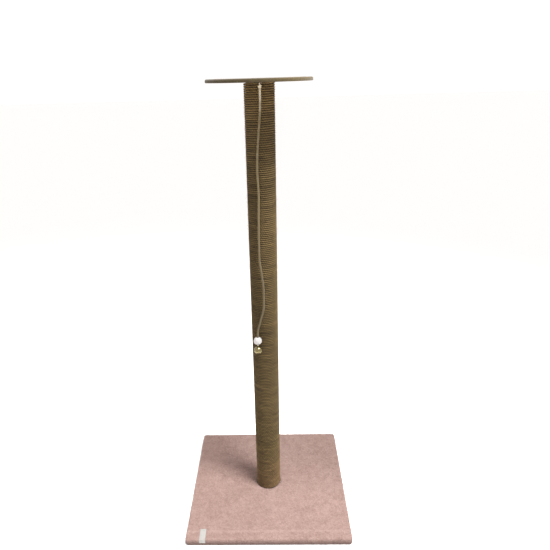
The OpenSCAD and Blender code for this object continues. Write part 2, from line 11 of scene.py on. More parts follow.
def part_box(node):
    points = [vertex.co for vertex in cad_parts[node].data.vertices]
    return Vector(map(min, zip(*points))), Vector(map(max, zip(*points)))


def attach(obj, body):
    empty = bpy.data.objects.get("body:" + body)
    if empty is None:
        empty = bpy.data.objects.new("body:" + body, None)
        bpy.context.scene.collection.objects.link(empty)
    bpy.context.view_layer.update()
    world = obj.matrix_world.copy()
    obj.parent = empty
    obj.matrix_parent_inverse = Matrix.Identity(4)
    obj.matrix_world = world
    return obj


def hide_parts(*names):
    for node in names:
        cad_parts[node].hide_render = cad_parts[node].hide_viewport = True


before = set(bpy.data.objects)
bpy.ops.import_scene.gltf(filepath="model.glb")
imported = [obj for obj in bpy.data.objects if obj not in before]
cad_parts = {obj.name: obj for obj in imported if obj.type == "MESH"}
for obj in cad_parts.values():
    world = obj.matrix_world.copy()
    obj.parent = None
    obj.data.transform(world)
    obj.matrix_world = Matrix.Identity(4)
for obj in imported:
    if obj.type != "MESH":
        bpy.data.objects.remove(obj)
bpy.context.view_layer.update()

bl_info = {
    "name": "Cat scratching post",
    "version": (1, 0, 0),
    "blender": (4, 5, 0),
    "location": "View3D > Sidebar > Post",
    "description": "Dresses a packed scratching post with its plush, rope, felt and toy",
    "category": "Object",
}

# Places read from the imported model, in metres
COVER_LOW, COVER_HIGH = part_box("base_cover")
PERCH_LOW, PERCH_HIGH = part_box("perch_felt")
TAG_LOW, TAG_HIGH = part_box("woven_tag")
KNOT_LOW, KNOT_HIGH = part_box("toy_top_knot")
END_LOW, END_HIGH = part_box("toy_end_knot")
STAPLE_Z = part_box("toy_staple")[0].z
ROPE_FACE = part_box("sisal_middle")[1].x
BASE_HALF = COVER_HIGH.x

# The cover's form, as the part's source has it, in metres
CORNER_R = 0.009
EDGE_R = 0.006
HEM_R = 0.003
PLUSH_T = 0.006
RETURN_W = 0.045
CORE_HALF = BASE_HALF - CORNER_R

# The loop of string under the ball, as the part's source has it, in metres
STRING_LOOP_R = 0.0038
STRING_R = 0.001

# The toy cord's way points: sideways, distance in front of the rope's face, drop below the perch, in mm
TOY_ROUTE = (
    (3, 13, 16), (3, 13, 32), (3, 13, 48), (2, 12, 75), (0, 11, 102), (-3, 10, 130),
    (-7, 9, 173), (-10, 9, 217), (-11, 9, 262), (-9, 8, 308), (-9, 8, 340), (-10, 8, 370),
    (-11, 8, 410), (-12, 8, 450), (-12, 9, 490), (-12, 9, 535), (-8, 10, 570), (-4, 10, 605),
    (-1, 11, 635), (-1, 11, 660), (-1, 12, 688), (-3, 12, 715), (-10, 13, 743), (-17, 14, 768),
    (-21, 15, 782), (-24, 15.5, 796), (-25, 15.5, 808), (-25, 15.5, 820), (-25, 15.5, 836),
)
MM_IN_M = 1000

# Points closer together than this, in metres, are one
WELD = 1e-6

# The nap that clumps and strands both lean with: features in a metre, octaves, roughness
NAP = (13.0, 3.0, 0.6)

# The plush's colour patterns, coarse to fine: features in a metre, octaves, share in the colour
PILE_PATTERNS = ((6.0, 4.0, 0.6), (34.0, 3.0, 0.8), (150.0, 2.0, 1.1), (420.0, 2.0, 0.4))
PILE_RANGE = (1.13, 1.71)

# The plush's light crease: distance from the front edge and reach to each side, in metres
CREASE_IN = 0.045
CREASE_REACH = 0.009

# Distances behind and right of the middle, in metres, between which the plush gets a painted shade, and how
# dark
SHADED_BEYOND = (-0.05, 0.25)
SHADE = 0.81

# Heights, in metres, between which the plush goes from a painted shade near the floor to its own colour
PAINTED_SHADE_BELOW = (0.006, 0.0335)

# Heights on the post, in metres, between which the rope's look changes: where its painted shade between the
# turns deepens and stops deepening, where a painted light brightens its top, where a painted light from the
# plush lightens its foot, and where a painted shade dims its lower half
SHADE_DEEPENS = (0.5, 0.8)
SHADE_DEEPENING_ENDS = (1.36, 1.18)
PAINTED_LIGHT_ABOVE = (1.36, 1.5)
LIT_BELOW = (0.26, 0.04)
PAINTED_DIM_BELOW = (1.15, 0.55)

# Lengths along the toy's cord, in metres, between which it gets worn, gets dark and loses its cream flecks
CORD_WEARS = (-0.012, 0.068)
CORD_DARKENS = (0.35, 0.6)
CORD_FLECKS_END = (0.35, 0.2)


def setting(kind, read=lambda default: default, **fixed):
    """A way to write one kind of setting as its name, its description and its default."""
    def made(name, description, default):
        return kind(name=name, description=description, default=read(default), **fixed)

    return made


number = setting(FloatProperty)
count = setting(IntProperty)
length = setting(FloatProperty, unit="LENGTH", precision=4)
power = setting(FloatProperty, unit="POWER")
angle = setting(FloatProperty, read=math.radians, subtype="ANGLE")
spot = setting(FloatVectorProperty, subtype="TRANSLATION")
colour = setting(FloatVectorProperty, subtype="COLOR", min=0.0, max=1.0)


class PostViewSettings(bpy.types.PropertyGroup):
    place: spot("Camera place", "Where the camera stands", (0.0325, -1.6782, 1.5553))
    yaw: angle("Turn", "Turn to the right from straight ahead", -1.630)
    pitch: angle("Tilt", "Tilt down from level", 23.493)
    roll: angle("Roll", "Roll about the line of sight", -1.625)
    lens: number("Lens", "Focal length in millimetres", 34.186)
    shift_x: number("Shift across", "Sideways shift of the view", 0.02715)
    shift_y: number("Shift up", "Upward shift of the view", 0.04964)


class PostStudioSettings(bpy.types.PropertyGroup):
    floor: colour("Floor", "Colour of the floor", (0.96, 0.96, 0.96))
    surround: colour("Surround", "Colour of the surround, a slightly warm white", (1.0, 0.955, 0.94))
    sky: number("Surround strength", "Strength of the surround's light", 1.085)
    key: power("Key light", "Power of the soft light", 79.0)
    key_place: spot("Key place", "Where the soft light stands", (1.99, -1.53, 6.9))
    key_aim: spot("Key aim", "The place that the soft light points at", (-0.12, -0.3, 0.0))
    key_size: length("Key size", "Width of the soft light", 1.8)
    key_height: length("Key height", "Height of the soft light", 1.7)
    key_spread: angle("Key spread", "Angle that the soft light fills", 50)


class PostPlushSettings(bpy.types.PropertyGroup):
    light: colour("Light pile", "Colour of the pile that leans to the light", (0.270, 0.188, 0.166))
    dark: colour("Dark pile", "Colour of the pile that leans away", (0.192, 0.124, 0.106))
    tuft: length("Tuft size", "Distance between clumps of pile", 0.0065)
    tuft_height: length("Tuft height", "Height of a clump of pile", 0.0013)
    swell: length("Unevenness", "Height of the uneven patches of the pile", 0.0016)
    strand: length("Strand length", "Length of a single pile strand", 0.0037)
    strand_count: count("Strands", "Single pile strands on the cover", 42000)
    cells: count("Cells", "Cells along each side of the cover's top", 214)


class PostRopeSettings(bpy.types.PropertyGroup):
    light: colour("Light fibre", "Colour of the rope's raised fibres", (0.235, 0.162, 0.068))
    # The dark fibre is the colour of the painted shade between the strands and turns
    dark: colour("Dark fibre", "Colour of the rope between its strands", (0.040, 0.027, 0.010))
    diameter: length("Rope diameter", "Diameter over the rope's strands", 0.0066)
    wrap: length("Winding radius", "Distance of the rope's middle from the post's axis", 0.044)
    pitch: length("Pitch", "Rise of one turn", 0.0065)
    lay: length("Lay", "Length in which a strand goes once round the rope", 0.021)
    start: angle("Start angle", "Angle at which the rope starts and ends", -10)
    low: length("Start height", "Height of the rope's middle at its start", 0.0273)
    high: length("End height", "Height of the rope's middle at its end", 1.5347)
    ring_count: count("Rings", "Rings of faces in one turn", 104)
    stray: length("Stray fibre", "Length of a fibre that stands off the rope", 0.007)
    stray_count: count("Stray fibres", "Fibres that stand off the rope", 3600)


class PostPerchSettings(bpy.types.PropertyGroup):
    light: colour("Light felt", "Main colour of the felt", (0.24, 0.228, 0.203))
    dark: colour("Flecks", "Colour of the felt's dark flecks", (0.105, 0.095, 0.082))
    rim: colour("Rim", "Colour of the felt on the rim", (0.071, 0.053, 0.024))
    radius: length("Perch radius", "Radius of the round part", 0.160)
    ear_reach: length("Ear reach", "Distance of an ear's tip from the middle", 0.223)
    ear_turn: angle("Ear place", "Angle of an ear's tip from straight back", 42)
    ear_lean: angle("Ear lean", "Angle that an ear leans back", 7)
    ear_angle: angle("Ear opening", "Opening angle of an ear", 55)
    ear_tip: length("Ear tip", "Radius of an ear's tip", 0.007)
    felt: length("Felt", "Thickness of the felt", 0.002)
    hole: length("Hole", "Radius of the hole over the bolt", 0.0065)


class PostToySettings(bpy.types.PropertyGroup):
    cream: colour("New cord", "Colour of the cord at its top", (1.0, 0.93, 0.74))
    tan: colour("Worn cord", "Colour of the cord lower down", (0.20, 0.150, 0.070))
    diameter: length("Cord diameter", "Diameter of the cord", 0.007)
    lay: length("Cord lay", "Length in which a strand goes once round the cord", 0.015)
    cord_length: length("Cord length", "Length of the cord from knot to knot", 0.824)


GROUPS = {
    "post_view": PostViewSettings,
    "post_studio": PostStudioSettings,
    "post_plush": PostPlushSettings,
    "post_rope": PostRopeSettings,
    "post_perch": PostPerchSettings,
    "post_toy": PostToySettings,
}


class Tree:
    """A node tree built step by step. A node's inputs are filled with sockets, nodes or plain values."""

    def __init__(self, tree):
        self.tree = tree

    def add(self, kind, *values, **named):
        """Adds a node. Values fill its inputs in order. A name with a capital is an input, with underscores
        for its spaces, and any other name is a setting of the node."""
        node = self.tree.nodes.new(kind)
        inputs = dict(enumerate(values))
        for name, value in named.items():
            if name[0].isupper():
                inputs[name.replace("_", " ")] = value
            else:
                setattr(node, name, value)
        for key, value in inputs.items():
            self.fill(node.inputs[key], value)
        return node

    def fill(self, socket, value):
        if isinstance(value, bpy.types.Node):
            value = value.outputs[0]
        if isinstance(value, bpy.types.NodeSocket):
            self.tree.links.new(value, socket)
        else:
            socket.default_value = value

    def math(self, operation, *values, clamp=False):
        return self.add("ShaderNodeMath", *values, operation=operation, use_clamp=clamp).outputs[0]

    def times(self, value, *factors, clamp=False):
        for factor in factors:
            value = self.math("MULTIPLY", value, factor, clamp=clamp)
        return value

    def plus(self, first, second, clamp=False):
        return self.math("ADD", first, second, clamp=clamp)

    def minus(self, first, second):
        return self.math("SUBTRACT", first, second)

    def scaled(self, value, factor, added, clamp=False):
        return self.math("MULTIPLY_ADD", value, factor, added, clamp=clamp)

    def far(self, x, y):
        return self.math("SQRT", self.plus(self.times(x, x), self.times(y, y)))

    def vector(self, operation, *values):
        return self.add("ShaderNodeVectorMath", *values, operation=operation).outputs["Vector"]

    def stretch(self, vector, factor):
        return self.add("ShaderNodeVectorMath", vector, Scale=factor, operation="SCALE").outputs["Vector"]

    def mix(self, factor, low, high):
        """Goes from one colour to another. A Mix node's inputs 6 and 7 and output 2 are its colours."""
        node = self.add("ShaderNodeMix", factor, data_type="RGBA")
        self.fill(node.inputs[6], low)
        self.fill(node.inputs[7], high)
        return node.outputs[2]

    def span(self, value, low, high, to_low=0.0, to_high=1.0, kind="LINEAR"):
        """Carries the range from low to high over to another one, and holds its ends beyond them."""
        return self.add(
            "ShaderNodeMapRange", Value=value, From_Min=low, From_Max=high, To_Min=to_low, To_Max=to_high,
            interpolation_type=kind,
        ).outputs[0]

    def ease(self, value, low, high, to_low=0.0, to_high=1.0):
        return self.span(value, low, high, to_low, to_high, "SMOOTHSTEP")

    def noise(self, scale, detail=2.0, roughness=0.5, distortion=0.0, place=None, output=0):
        """A noise with so many features in a metre, at the tree's own place or at another one."""
        return self.add(
            "ShaderNodeTexNoise", Vector=place or self.place, Scale=scale, Detail=detail, Roughness=roughness,
            Distortion=distortion,
        ).outputs[output]

    def xyz(self, value):
        return self.add("ShaderNodeSeparateXYZ", value).outputs

    def joined(self, x, y, z):
        return self.add("ShaderNodeCombineXYZ", x, y, z).outputs[0]


class Finish(Tree):
    """A material with one Principled shader, whose nodes read Object coordinates or the mesh's attributes."""

    def __init__(self, name, **shader):
        self.material = bpy.data.materials.new(name)
        self.material.use_nodes = True
        super().__init__(self.material.node_tree)
        self.tree.nodes.clear()
        self.shader = self.add("ShaderNodeBsdfPrincipled", **shader)
        self.add("ShaderNodeOutputMaterial", Surface=self.shader)
        self.place = self.add("ShaderNodeTexCoord").outputs["Object"]

    def read(self, name, output="Fac"):
        return self.add("ShaderNodeAttribute", attribute_name=name).outputs[output]

    def set(self, name, value):
        self.fill(self.shader.inputs[name], value)

    def mottled(self, value, low, high, ends=(0.3, 0.7)):
        return self.mix(self.span(value, *ends), low, high)

    def strand_place(self, around, along):
        """A place on a laid strand, round its section and along it, so that noise there looks like fibres."""
        x, y, _ = self.xyz(self.read("around", "Vector"))
        return self.vector("MULTIPLY", self.joined(x, y, self.read("along")), (around, around, along))

    def done(self, shade, height=None, distance=0.0, strength=0.0):
        """Sets the colour and the bump, and gives the material."""
        self.set("Base Color", shade)
        if height is not None:
            bump = self.add("ShaderNodeBump", Strength=strength, Distance=distance, Height=height)
            self.set("Normal", bump)
        return self.material


class Growth(Tree):
    """A Geometry Nodes tree with named inputs, that ends in Realize Instances and Set Material."""

    KINDS = {float: "NodeSocketFloat", int: "NodeSocketInt"}

    def __init__(self, name, **inputs):
        tree = bpy.data.node_groups.new(name, "GeometryNodeTree")
        super().__init__(tree)
        new_socket = tree.interface.new_socket
        new_socket(name="Geometry", in_out="INPUT", socket_type="NodeSocketGeometry")
        new_socket(name="Material", in_out="INPUT", socket_type="NodeSocketMaterial")
        for name, default in inputs.items():
            kind = self.KINDS[type(default)]
            new_socket(name=name.replace("_", " "), in_out="INPUT", socket_type=kind).default_value = default
        new_socket(name="Geometry", in_out="OUTPUT", socket_type="NodeSocketGeometry")
        self.given = self.add("NodeGroupInput").outputs
        self.place = self.node("InputPosition").outputs[0]

    def node(self, kind, **named):
        return self.add("GeometryNode" + kind, **named)

    def end(self, geometry, smooth=True):
        real = self.node("RealizeInstances", Geometry=geometry)
        shaded = self.node("SetShadeSmooth", Geometry=real, Shade_Smooth=smooth)
        worn = self.node("SetMaterial", Geometry=shaded, Material=self.given["Material"])
        self.add("NodeGroupOutput", Geometry=worn)
        return self.tree

    def store(self, geometry, name, value, data_type="FLOAT", domain="POINT"):
        return self.node(
            "StoreNamedAttribute", Geometry=geometry, Name=name, Value=value, data_type=data_type,
            domain=domain,
        )

    def pile(self):
        return self.node("InputNamedAttribute", Name="pile", data_type="FLOAT").outputs[0]

    def shaken(self, scale, detail=2.0, roughness=0.5):
        """A noise vector about nothing, at each point's own place."""
        noise = self.noise(scale, detail, roughness, output="Color")
        return self.vector("SUBTRACT", noise, (0.5, 0.5, 0.5))

    def random(self, low, high, seed):
        """A random number or vector for each point. A Random Value node has inputs and an output for each."""
        kind, first, output = ("FLOAT_VECTOR", 0, 0) if isinstance(low, tuple) else ("FLOAT", 2, 1)
        node = self.add("FunctionNodeRandomValue", Seed=seed, data_type=kind)
        self.fill(node.inputs[first], low)
        self.fill(node.inputs[first + 1], high)
        return node.outputs[output]

    def scatter(self, points, shape, way, spin, sizes):
        """A shape on each point, turned by a random spin about its own axes and sized between two sizes."""
        turned = self.add("FunctionNodeRotateRotation", Rotation=way, Rotate_By=spin, rotation_space="LOCAL")
        size = self.random(*sizes, self.given["Seed"])
        return self.node("InstanceOnPoints", Points=points, Instance=shape, Rotation=turned, Scale=size)


def placed(name, data):
    """A new object in the scene."""
    made = bpy.data.objects.new(name, data)
    bpy.context.scene.collection.objects.link(made)
    return made


def grow(name, tree, material, mesh=None, **values):
    """A plain mesh object made by a Geometry Nodes tree on a mesh, or on nothing."""
    start = placed(name, mesh or bpy.data.meshes.new(name + "_start"))
    modifier = start.modifiers.new("Growth", "NODES")
    modifier.node_group = tree
    values = {key.replace("_", " "): value for key, value in values.items()}
    values["Material"] = material
    for item in tree.interface.items_tree:
        if item.item_type == "SOCKET" and item.in_out == "INPUT" and item.name in values:
            modifier[item.identifier] = values[item.name]
    view = bpy.context.evaluated_depsgraph_get()
    made = bpy.data.meshes.new_from_object(
        start.evaluated_get(view), preserve_all_data_layers=True, depsgraph=view
    )
    if not made.polygons:
        raise RuntimeError(f"{name} came out empty")
    start.modifiers.clear()
    start.data = made
    made.name = name
    return start


def piece(name, points, faces, material):
    """A mesh object from points and faces, welded, with its faces pointing outwards."""
    mesh = bpy.data.meshes.new(name)
    mesh.from_pydata([tuple(p) for p in points], [], [tuple(f) for f in faces])
    shape = bmesh.new()
    shape.from_mesh(mesh)
    bmesh.ops.remove_doubles(shape, verts=shape.verts, dist=WELD)
    bmesh.ops.recalc_face_normals(shape, faces=shape.faces)
    for face in shape.faces:
        face.smooth = True
    shape.to_mesh(mesh)
    shape.free()
    mesh.materials.append(material)
    return placed(name, mesh)


def line_mesh(name, points, closed=False):
    last = len(points) - 1
    edges = [(i, i + 1) for i in range(last)] + ([(last, 0)] if closed else [])
    mesh = bpy.data.meshes.new(name)
    mesh.from_pydata([tuple(p) for p in points], edges, [])
    return mesh


def tied(name, tree, material, *lines):
    """Closed lines of cord made one piece. A line has its points and the cord tree's values."""
    parts = [grow(name, tree, material, line_mesh(name, points, True), **values) for points, values in lines]
    shape = bmesh.new()
    for part in parts:
        shape.from_mesh(part.data)
    shape.to_mesh(parts[0].data)
    shape.free()
    for part in parts[1:]:
        bpy.data.objects.remove(part)
    return parts[0]


def fit(made, slot, body, *nodes):
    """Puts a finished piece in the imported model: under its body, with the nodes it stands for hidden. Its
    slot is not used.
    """
    if nodes:
        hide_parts(*nodes)
    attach(made, body)


def dress(material, *nodes):
    """Gives CAD nodes a material, through their objects' material slots."""
    for name in nodes:
        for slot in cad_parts[name].material_slots:
            slot.material = material


def ring_faces(rows, width, start=0, closed=True):
    """Quads between rows of points, each as many points wide."""
    return [
        (start + r * width + i, start + r * width + (i + 1) % width,
         start + (r + 1) * width + (i + 1) % width, start + (r + 1) * width + i)
        for r in range(rows - 1) for i in range(width if closed else width - 1)
    ]


# Node trees


def strand_section(t, strands, depth, diameter):
    """A round section with one lobe for each strand, and the attributes that its material reads."""
    points_in_lobe = 4.0
    circle = t.node(
        "CurvePrimitiveCircle", Resolution=t.times(strands, points_in_lobe), Radius=t.times(diameter, 0.5)
    )
    turn = t.times(t.node("SplineParameter").outputs["Factor"], math.tau)
    ridge = t.scaled(t.math("COSINE", t.times(turn, strands)), 0.5, 0.5)
    marked = t.store(circle, "ridge", ridge)
    around = t.joined(t.math("COSINE", turn), t.math("SINE", turn), 0.0)
    marked = t.store(marked, "around", around, data_type="FLOAT_VECTOR")
    drawn = t.plus(1.0, t.times(depth, t.minus(ridge, 1.0)))
    return t.node("SetPosition", Geometry=marked, Position=t.stretch(t.place, drawn))


def twisted(t, curve, section, lay, begun, mode="Z_UP"):
    """Sweeps a section along a curve, turning once in each lay, and marks how far along each point is."""
    along = t.plus(t.node("SplineParameter").outputs["Length"], begun)
    marked = t.store(curve, "along", along)
    upright = t.node("SetCurveNormal", Curve=marked, mode=mode)
    tilt = t.times(t.math("DIVIDE", along, lay), math.tau)
    tilted = t.node("SetCurveTilt", Curve=upright, Tilt=tilt)
    return t.node("CurveToMesh", Curve=tilted, Profile_Curve=section, Fill_Caps=True)


def wound_rope_tree():
    """A rope wound round the post as one helix, slightly uneven."""
    t = Growth(
        "Wound rope", Radius=0.044, Pitch=0.0065, Turns=10.0, Start_Angle=0.0, Start_Height=0.0,
        Start_Length=0.0, Diameter=0.0066, Lay=0.021, Rings=100, Strands=3, Lobe=0.2, Unevenness=0.0004,
    )
    g = t.given
    spiral = t.node(
        "CurveSpiral", Resolution=g["Rings"], Rotations=g["Turns"], Start_Radius=g["Radius"],
        End_Radius=g["Radius"], Height=t.times(g["Turns"], g["Pitch"]), Reverse=True,
    )
    placed = t.node(
        "Transform", Geometry=spiral, Translation=t.joined(0.0, 0.0, g["Start Height"]),
        Rotation=t.joined(0.0, 0.0, g["Start Angle"]),
    )
    wave = t.stretch(t.shaken(26.0, 1.0), t.times(g["Unevenness"], 2.0))
    waved = t.node("SetPosition", Geometry=placed, Offset=wave)
    marked = t.store(waved, "core", t.xyz(t.place)[2])
    section = strand_section(t, g["Strands"], g["Lobe"], g["Diameter"])
    return t.end(twisted(t, marked, section, g["Lay"], g["Start Length"]))


def laid_cord_tree():
    """A cord of several strands laid along a line of edges."""
    t = Growth("Laid cord", Diameter=0.0055, Lay=0.015, Gap=0.001, Strands=3, Lobe=0.2)
    g = t.given
    curve = t.node("MeshToCurve", Mesh=g["Geometry"])
    even = t.node("ResampleCurve", Curve=curve, Length=g["Gap"], mode="LENGTH")
    section = strand_section(t, g["Strands"], g["Lobe"], g["Diameter"])
    return t.end(twisted(t, even, section, g["Lay"], 0.0, "MINIMUM_TWIST"))


def stray_fibre_tree():
    """Short bent fibres that stand off a wound post."""
    t = Growth(
        "Stray fibres", Radius=0.047, Low=0.03, High=1.53, Count=1000, Length=0.007, Width=0.0001, Seed=3
    )
    g = t.given
    tall = t.minus(g["High"], g["Low"])
    tube = t.node(
        "MeshCylinder", Vertices=64, Side_Segments=1, Radius=g["Radius"], Depth=tall, fill_type="NONE"
    )
    middle = t.times(t.plus(g["High"], g["Low"]), 0.5)
    tube = t.node("Transform", Geometry=tube, Translation=t.joined(0.0, 0.0, middle))
    density = t.math("DIVIDE", g["Count"], t.times(g["Radius"], tall, math.tau))
    spread = t.node("DistributePointsOnFaces", Mesh=tube, Density=density, Seed=g["Seed"])
    bow = t.node(
        "CurvePrimitiveBezierSegment", Resolution=4, Start=(0, 0, 0), Start_Handle=(0.3, 0, 0.1),
        End_Handle=(0.7, 0.1, 0.35), End=(1, 0.3, 0.5),
    )
    bow = t.node("Transform", Geometry=bow, Scale=t.joined(g["Length"], g["Length"], g["Length"]))
    hair = t.node("CurvePrimitiveCircle", Resolution=3, Radius=g["Width"])
    hair = t.node("CurveToMesh", Curve=bow, Profile_Curve=hair, Fill_Caps=True)
    spin = t.random((-0.25, -0.3, 0.0), (0.25, 0.3, math.tau), g["Seed"])
    return t.end(t.scatter(spread, hair, spread.outputs["Rotation"], spin, sizes=(0.4, 1.3)))


def clumped_pile_tree():
    """Raises a cloth's face into leaning clumps of pile where its pile attribute is above nothing."""
    t = Growth("Clumped pile", Tuft=0.0065, Height=0.0018, Swell=0.0016, Lean=0.0022, Stray=0.006)
    g = t.given
    pile = t.pile()
    strayed = t.vector("ADD", t.place, t.stretch(t.shaken(70.0), g["Stray"]))
    per_metre = t.math("DIVIDE", 1.0, g["Tuft"])
    cells = t.add("ShaderNodeTexVoronoi", Vector=strayed, Scale=per_metre, feature="F1")
    tuft = t.ease(cells.outputs["Distance"], 0.85, 0.1)
    broad = t.minus(t.noise(19.0, 3.0, 0.6), 0.5)
    rise = t.times(t.scaled(tuft, g["Height"], t.times(broad, g["Swell"])), pile)
    lean = t.stretch(t.shaken(*NAP), t.times(tuft, g["Lean"], pile))
    away = t.stretch(t.node("InputNormal"), rise)
    return t.end(t.node("SetPosition", Geometry=g["Geometry"], Offset=t.vector("ADD", away, lean)))


def pile_strand_tree():
    """Single pointed strands over a cloth's pile, leaning with its nap. Their bake map is the plan view."""
    t = Growth(
        "Pile strands", Density=1000.0, Length=0.0055, Width=0.0005, Nap=2.2, Span=0.62, Floor=0.0008, Seed=5
    )
    g = t.given
    density = t.times(g["Density"], t.pile())
    spread = t.node("DistributePointsOnFaces", Mesh=g["Geometry"], Density=density, Seed=g["Seed"])
    loose = t.random((-0.8, -0.8, -0.2), (0.8, 0.8, 0.2), g["Seed"])
    way = t.vector("ADD", t.stretch(t.shaken(*NAP), g["Nap"]), loose)
    way = t.vector("ADD", spread.outputs["Normal"], way)
    aimed = t.add("FunctionNodeAlignRotationToVector", Vector=way, axis="Z")
    spin = t.random((0.0, 0.0, 0.0), (0.0, 0.0, math.tau), t.plus(g["Seed"], 1.0))
    blade = t.node(
        "MeshCone", Vertices=3, Side_Segments=1, Fill_Segments=1, Radius_Top=0.0, Radius_Bottom=g["Width"],
        Depth=g["Length"], fill_type="NGON",
    )
    real = t.node("RealizeInstances", Geometry=t.scatter(spread, blade, aimed, spin, sizes=(0.6, 1.1)))
    x, y, z = t.xyz(t.place)
    kept = t.node("SetPosition", Geometry=real, Position=t.joined(x, y, t.math("MAXIMUM", z, g["Floor"])))
    flat = t.vector("DIVIDE", t.place, t.joined(g["Span"], g["Span"], 1.0))
    flat = t.vector("ADD", flat, (0.5, 0.5, 0.0))
    return t.end(t.store(kept, "OFBake", flat, data_type="FLOAT2", domain="CORNER"), smooth=False)


# Materials


def tint(base, factor=1.0):
    return (*(c * factor for c in base), 1.0)


def plush_finish(look, name="Plush pile", gain=1.0, raised=True):
    """Pink pile with a light crease along its front, and painted shade at its back and right and close to the
    floor.
    """
    m = Finish(
        name, Roughness=0.95, Sheen_Weight=0.2, Sheen_Roughness=0.5, Sheen_Tint=(1.0, 0.9, 0.87, 1.0),
        Specular_IOR_Level=0.15,
    )
    patterns = [m.noise(scale, detail, 0.6) for scale, detail, _ in PILE_PATTERNS]
    broad, patch, _, fine = patterns
    level = 0.0
    for pattern, (_, _, share) in zip(patterns, PILE_PATTERNS):
        level = m.scaled(pattern, share, level)
    level = m.span(level, *PILE_RANGE)
    x, y, z = m.xyz(m.place)
    crease = m.plus(y, m.scaled(patch, 0.016, BASE_HALF - CREASE_IN))
    crease = m.ease(m.math("ABSOLUTE", crease), CREASE_REACH, 0.0)
    level = m.scaled(crease, 0.45, level, clamp=True)
    shade = m.mix(level, tint(look.dark, gain), tint(look.light, gain))
    # Painted shade, darker towards the back and right
    painted_shade_way = m.plus(m.scaled(x, 0.35, y), m.scaled(broad, 0.16, -0.08))
    shade = m.stretch(shade, m.ease(painted_shade_way, *SHADED_BEYOND, 1.0, SHADE))
    # Painted shade near the floor: darker towards the bottom, down to 0.55 of the dark pile
    worn = m.ease(m.scaled(patch, 0.004, z), *PAINTED_SHADE_BELOW)
    shade = m.mix(worn, tint(look.dark, 0.55), shade)
    return m.done(shade, fine, distance=0.0012, strength=0.5) if raised else m.done(shade)


def sisal_finish(look, name="Sisal rope", laid=True):
    """Twisted fibres, with painted shade between the strands and turns. A painted light brightens the top, a
    painted shade dims the lower half, and a painted light from the plush makes them lighter and redder by the
    base."""
    m = Finish(name, Roughness=0.88, Specular_IOR_Level=0.25)
    x, y, z = m.xyz(m.place)
    if laid:
        place = m.strand_place(3.0, 60.0)
        fibre = m.noise(1.6, 4.0, 0.65, place=place)
        # Painted shade: darker towards the rope's inner side, on the lower and top edges of each turn and
        # between its strands, deeper at middle heights
        crest = m.ease(m.far(x, y), look.wrap - 0.0002, look.wrap + look.diameter / 2)
        rise = m.math("DIVIDE", m.minus(z, m.read("core")), look.diameter / 2)
        deeper_shade = m.times(m.ease(z, *SHADE_DEEPENS), m.ease(z, *SHADE_DEEPENING_ENDS))
        lower = m.scaled(deeper_shade, -0.45, rise)
        crest = m.times(crest, m.ease(lower, -0.5, 0.0), m.ease(rise, 0.95, 0.6))
        level = m.times(crest, m.span(m.read("ridge"), -0.7, 1.0), m.span(fibre, 0.25, 0.75, 0.45, 1.15))
        fleck = m.span(m.noise(5.0, place=place), 0.62, 0.72, 0.0, 0.6)
        level = m.plus(level, m.times(fleck, crest), clamp=True)
        length_along = m.joined(m.times(m.read("along"), 7.0), 0.0, 0.0)
        tone = m.span(m.noise(1.0, 4.0, 0.75, place=length_along), 0.38, 0.62, 0.64, 1.36)
        # The random tone along the rope varies more where the painted shade deepens
        tone = m.times(tone, m.scaled(deeper_shade, 0.3, 1.0))
    else:
        fibre = m.noise(300.0)
        level = m.span(fibre, 0.3, 0.7, 0.5, 1.0)
        tone = 1.0
    # Painted light at the top, up to 1.25 times lighter
    painted_top_light = m.ease(z, *PAINTED_LIGHT_ABOVE, 1.0, 1.25)
    # Painted light bounced from the pink plush, by the base
    foot = m.ease(z, *LIT_BELOW)
    # Painted shade dims the lower half, down to 0.77; the painted lights above multiply in here too
    tone = m.times(tone, m.ease(z, *PAINTED_DIM_BELOW, 1.0, 0.77), m.scaled(foot, 0.45, painted_top_light))
    broad = m.noise(11.0, 3.0)
    light = m.mottled(broad, tint(look.light, 0.86), tint(look.light, 1.12), ends=(0.35, 0.65))
    # Painted reddish light from the plush, by the base
    light = m.mix(m.times(foot, 0.5), light, (0.27, 0.15, 0.085, 1))
    shade = m.mix(level, tint(look.dark), light)
    return m.done(m.stretch(shade, tone), fibre, distance=0.0006, strength=0.7)


def felt_finish(name, light, dark, painted_light_right=1.0):
    """Felt with dark flecks, and a painted light that may make it lighter to the right."""
    m = Finish(name, Roughness=0.95, Sheen_Weight=0.15, Specular_IOR_Level=0.2)
    fleck = m.noise(900.0, 2.0, 0.7)
    blot = m.noise(160.0, 3.0, 0.6)
    drawn = m.vector("MULTIPLY", m.place, (1.0, 5.0, 1.0))
    hair = m.noise(260.0, 2.0, 0.6, 1.5, place=drawn)
    level = m.times(m.span(fleck, 0.36, 0.56), m.span(blot, 0.3, 0.6, 0.55, 1.0))
    level = m.times(level, m.span(hair, 0.3, 0.55, 0.6, 1.0), clamp=True)
    shade = m.mix(level, tint(dark), tint(light))
    # Painted light from the right: lighter towards +x by up to the given factor
    if painted_light_right != 1.0:
        shade = m.stretch(shade, m.ease(m.xyz(m.place)[0], -0.04, 0.15, 1.0, painted_light_right))
    return m.done(shade, m.plus(fleck, hair), distance=0.0007, strength=0.5)


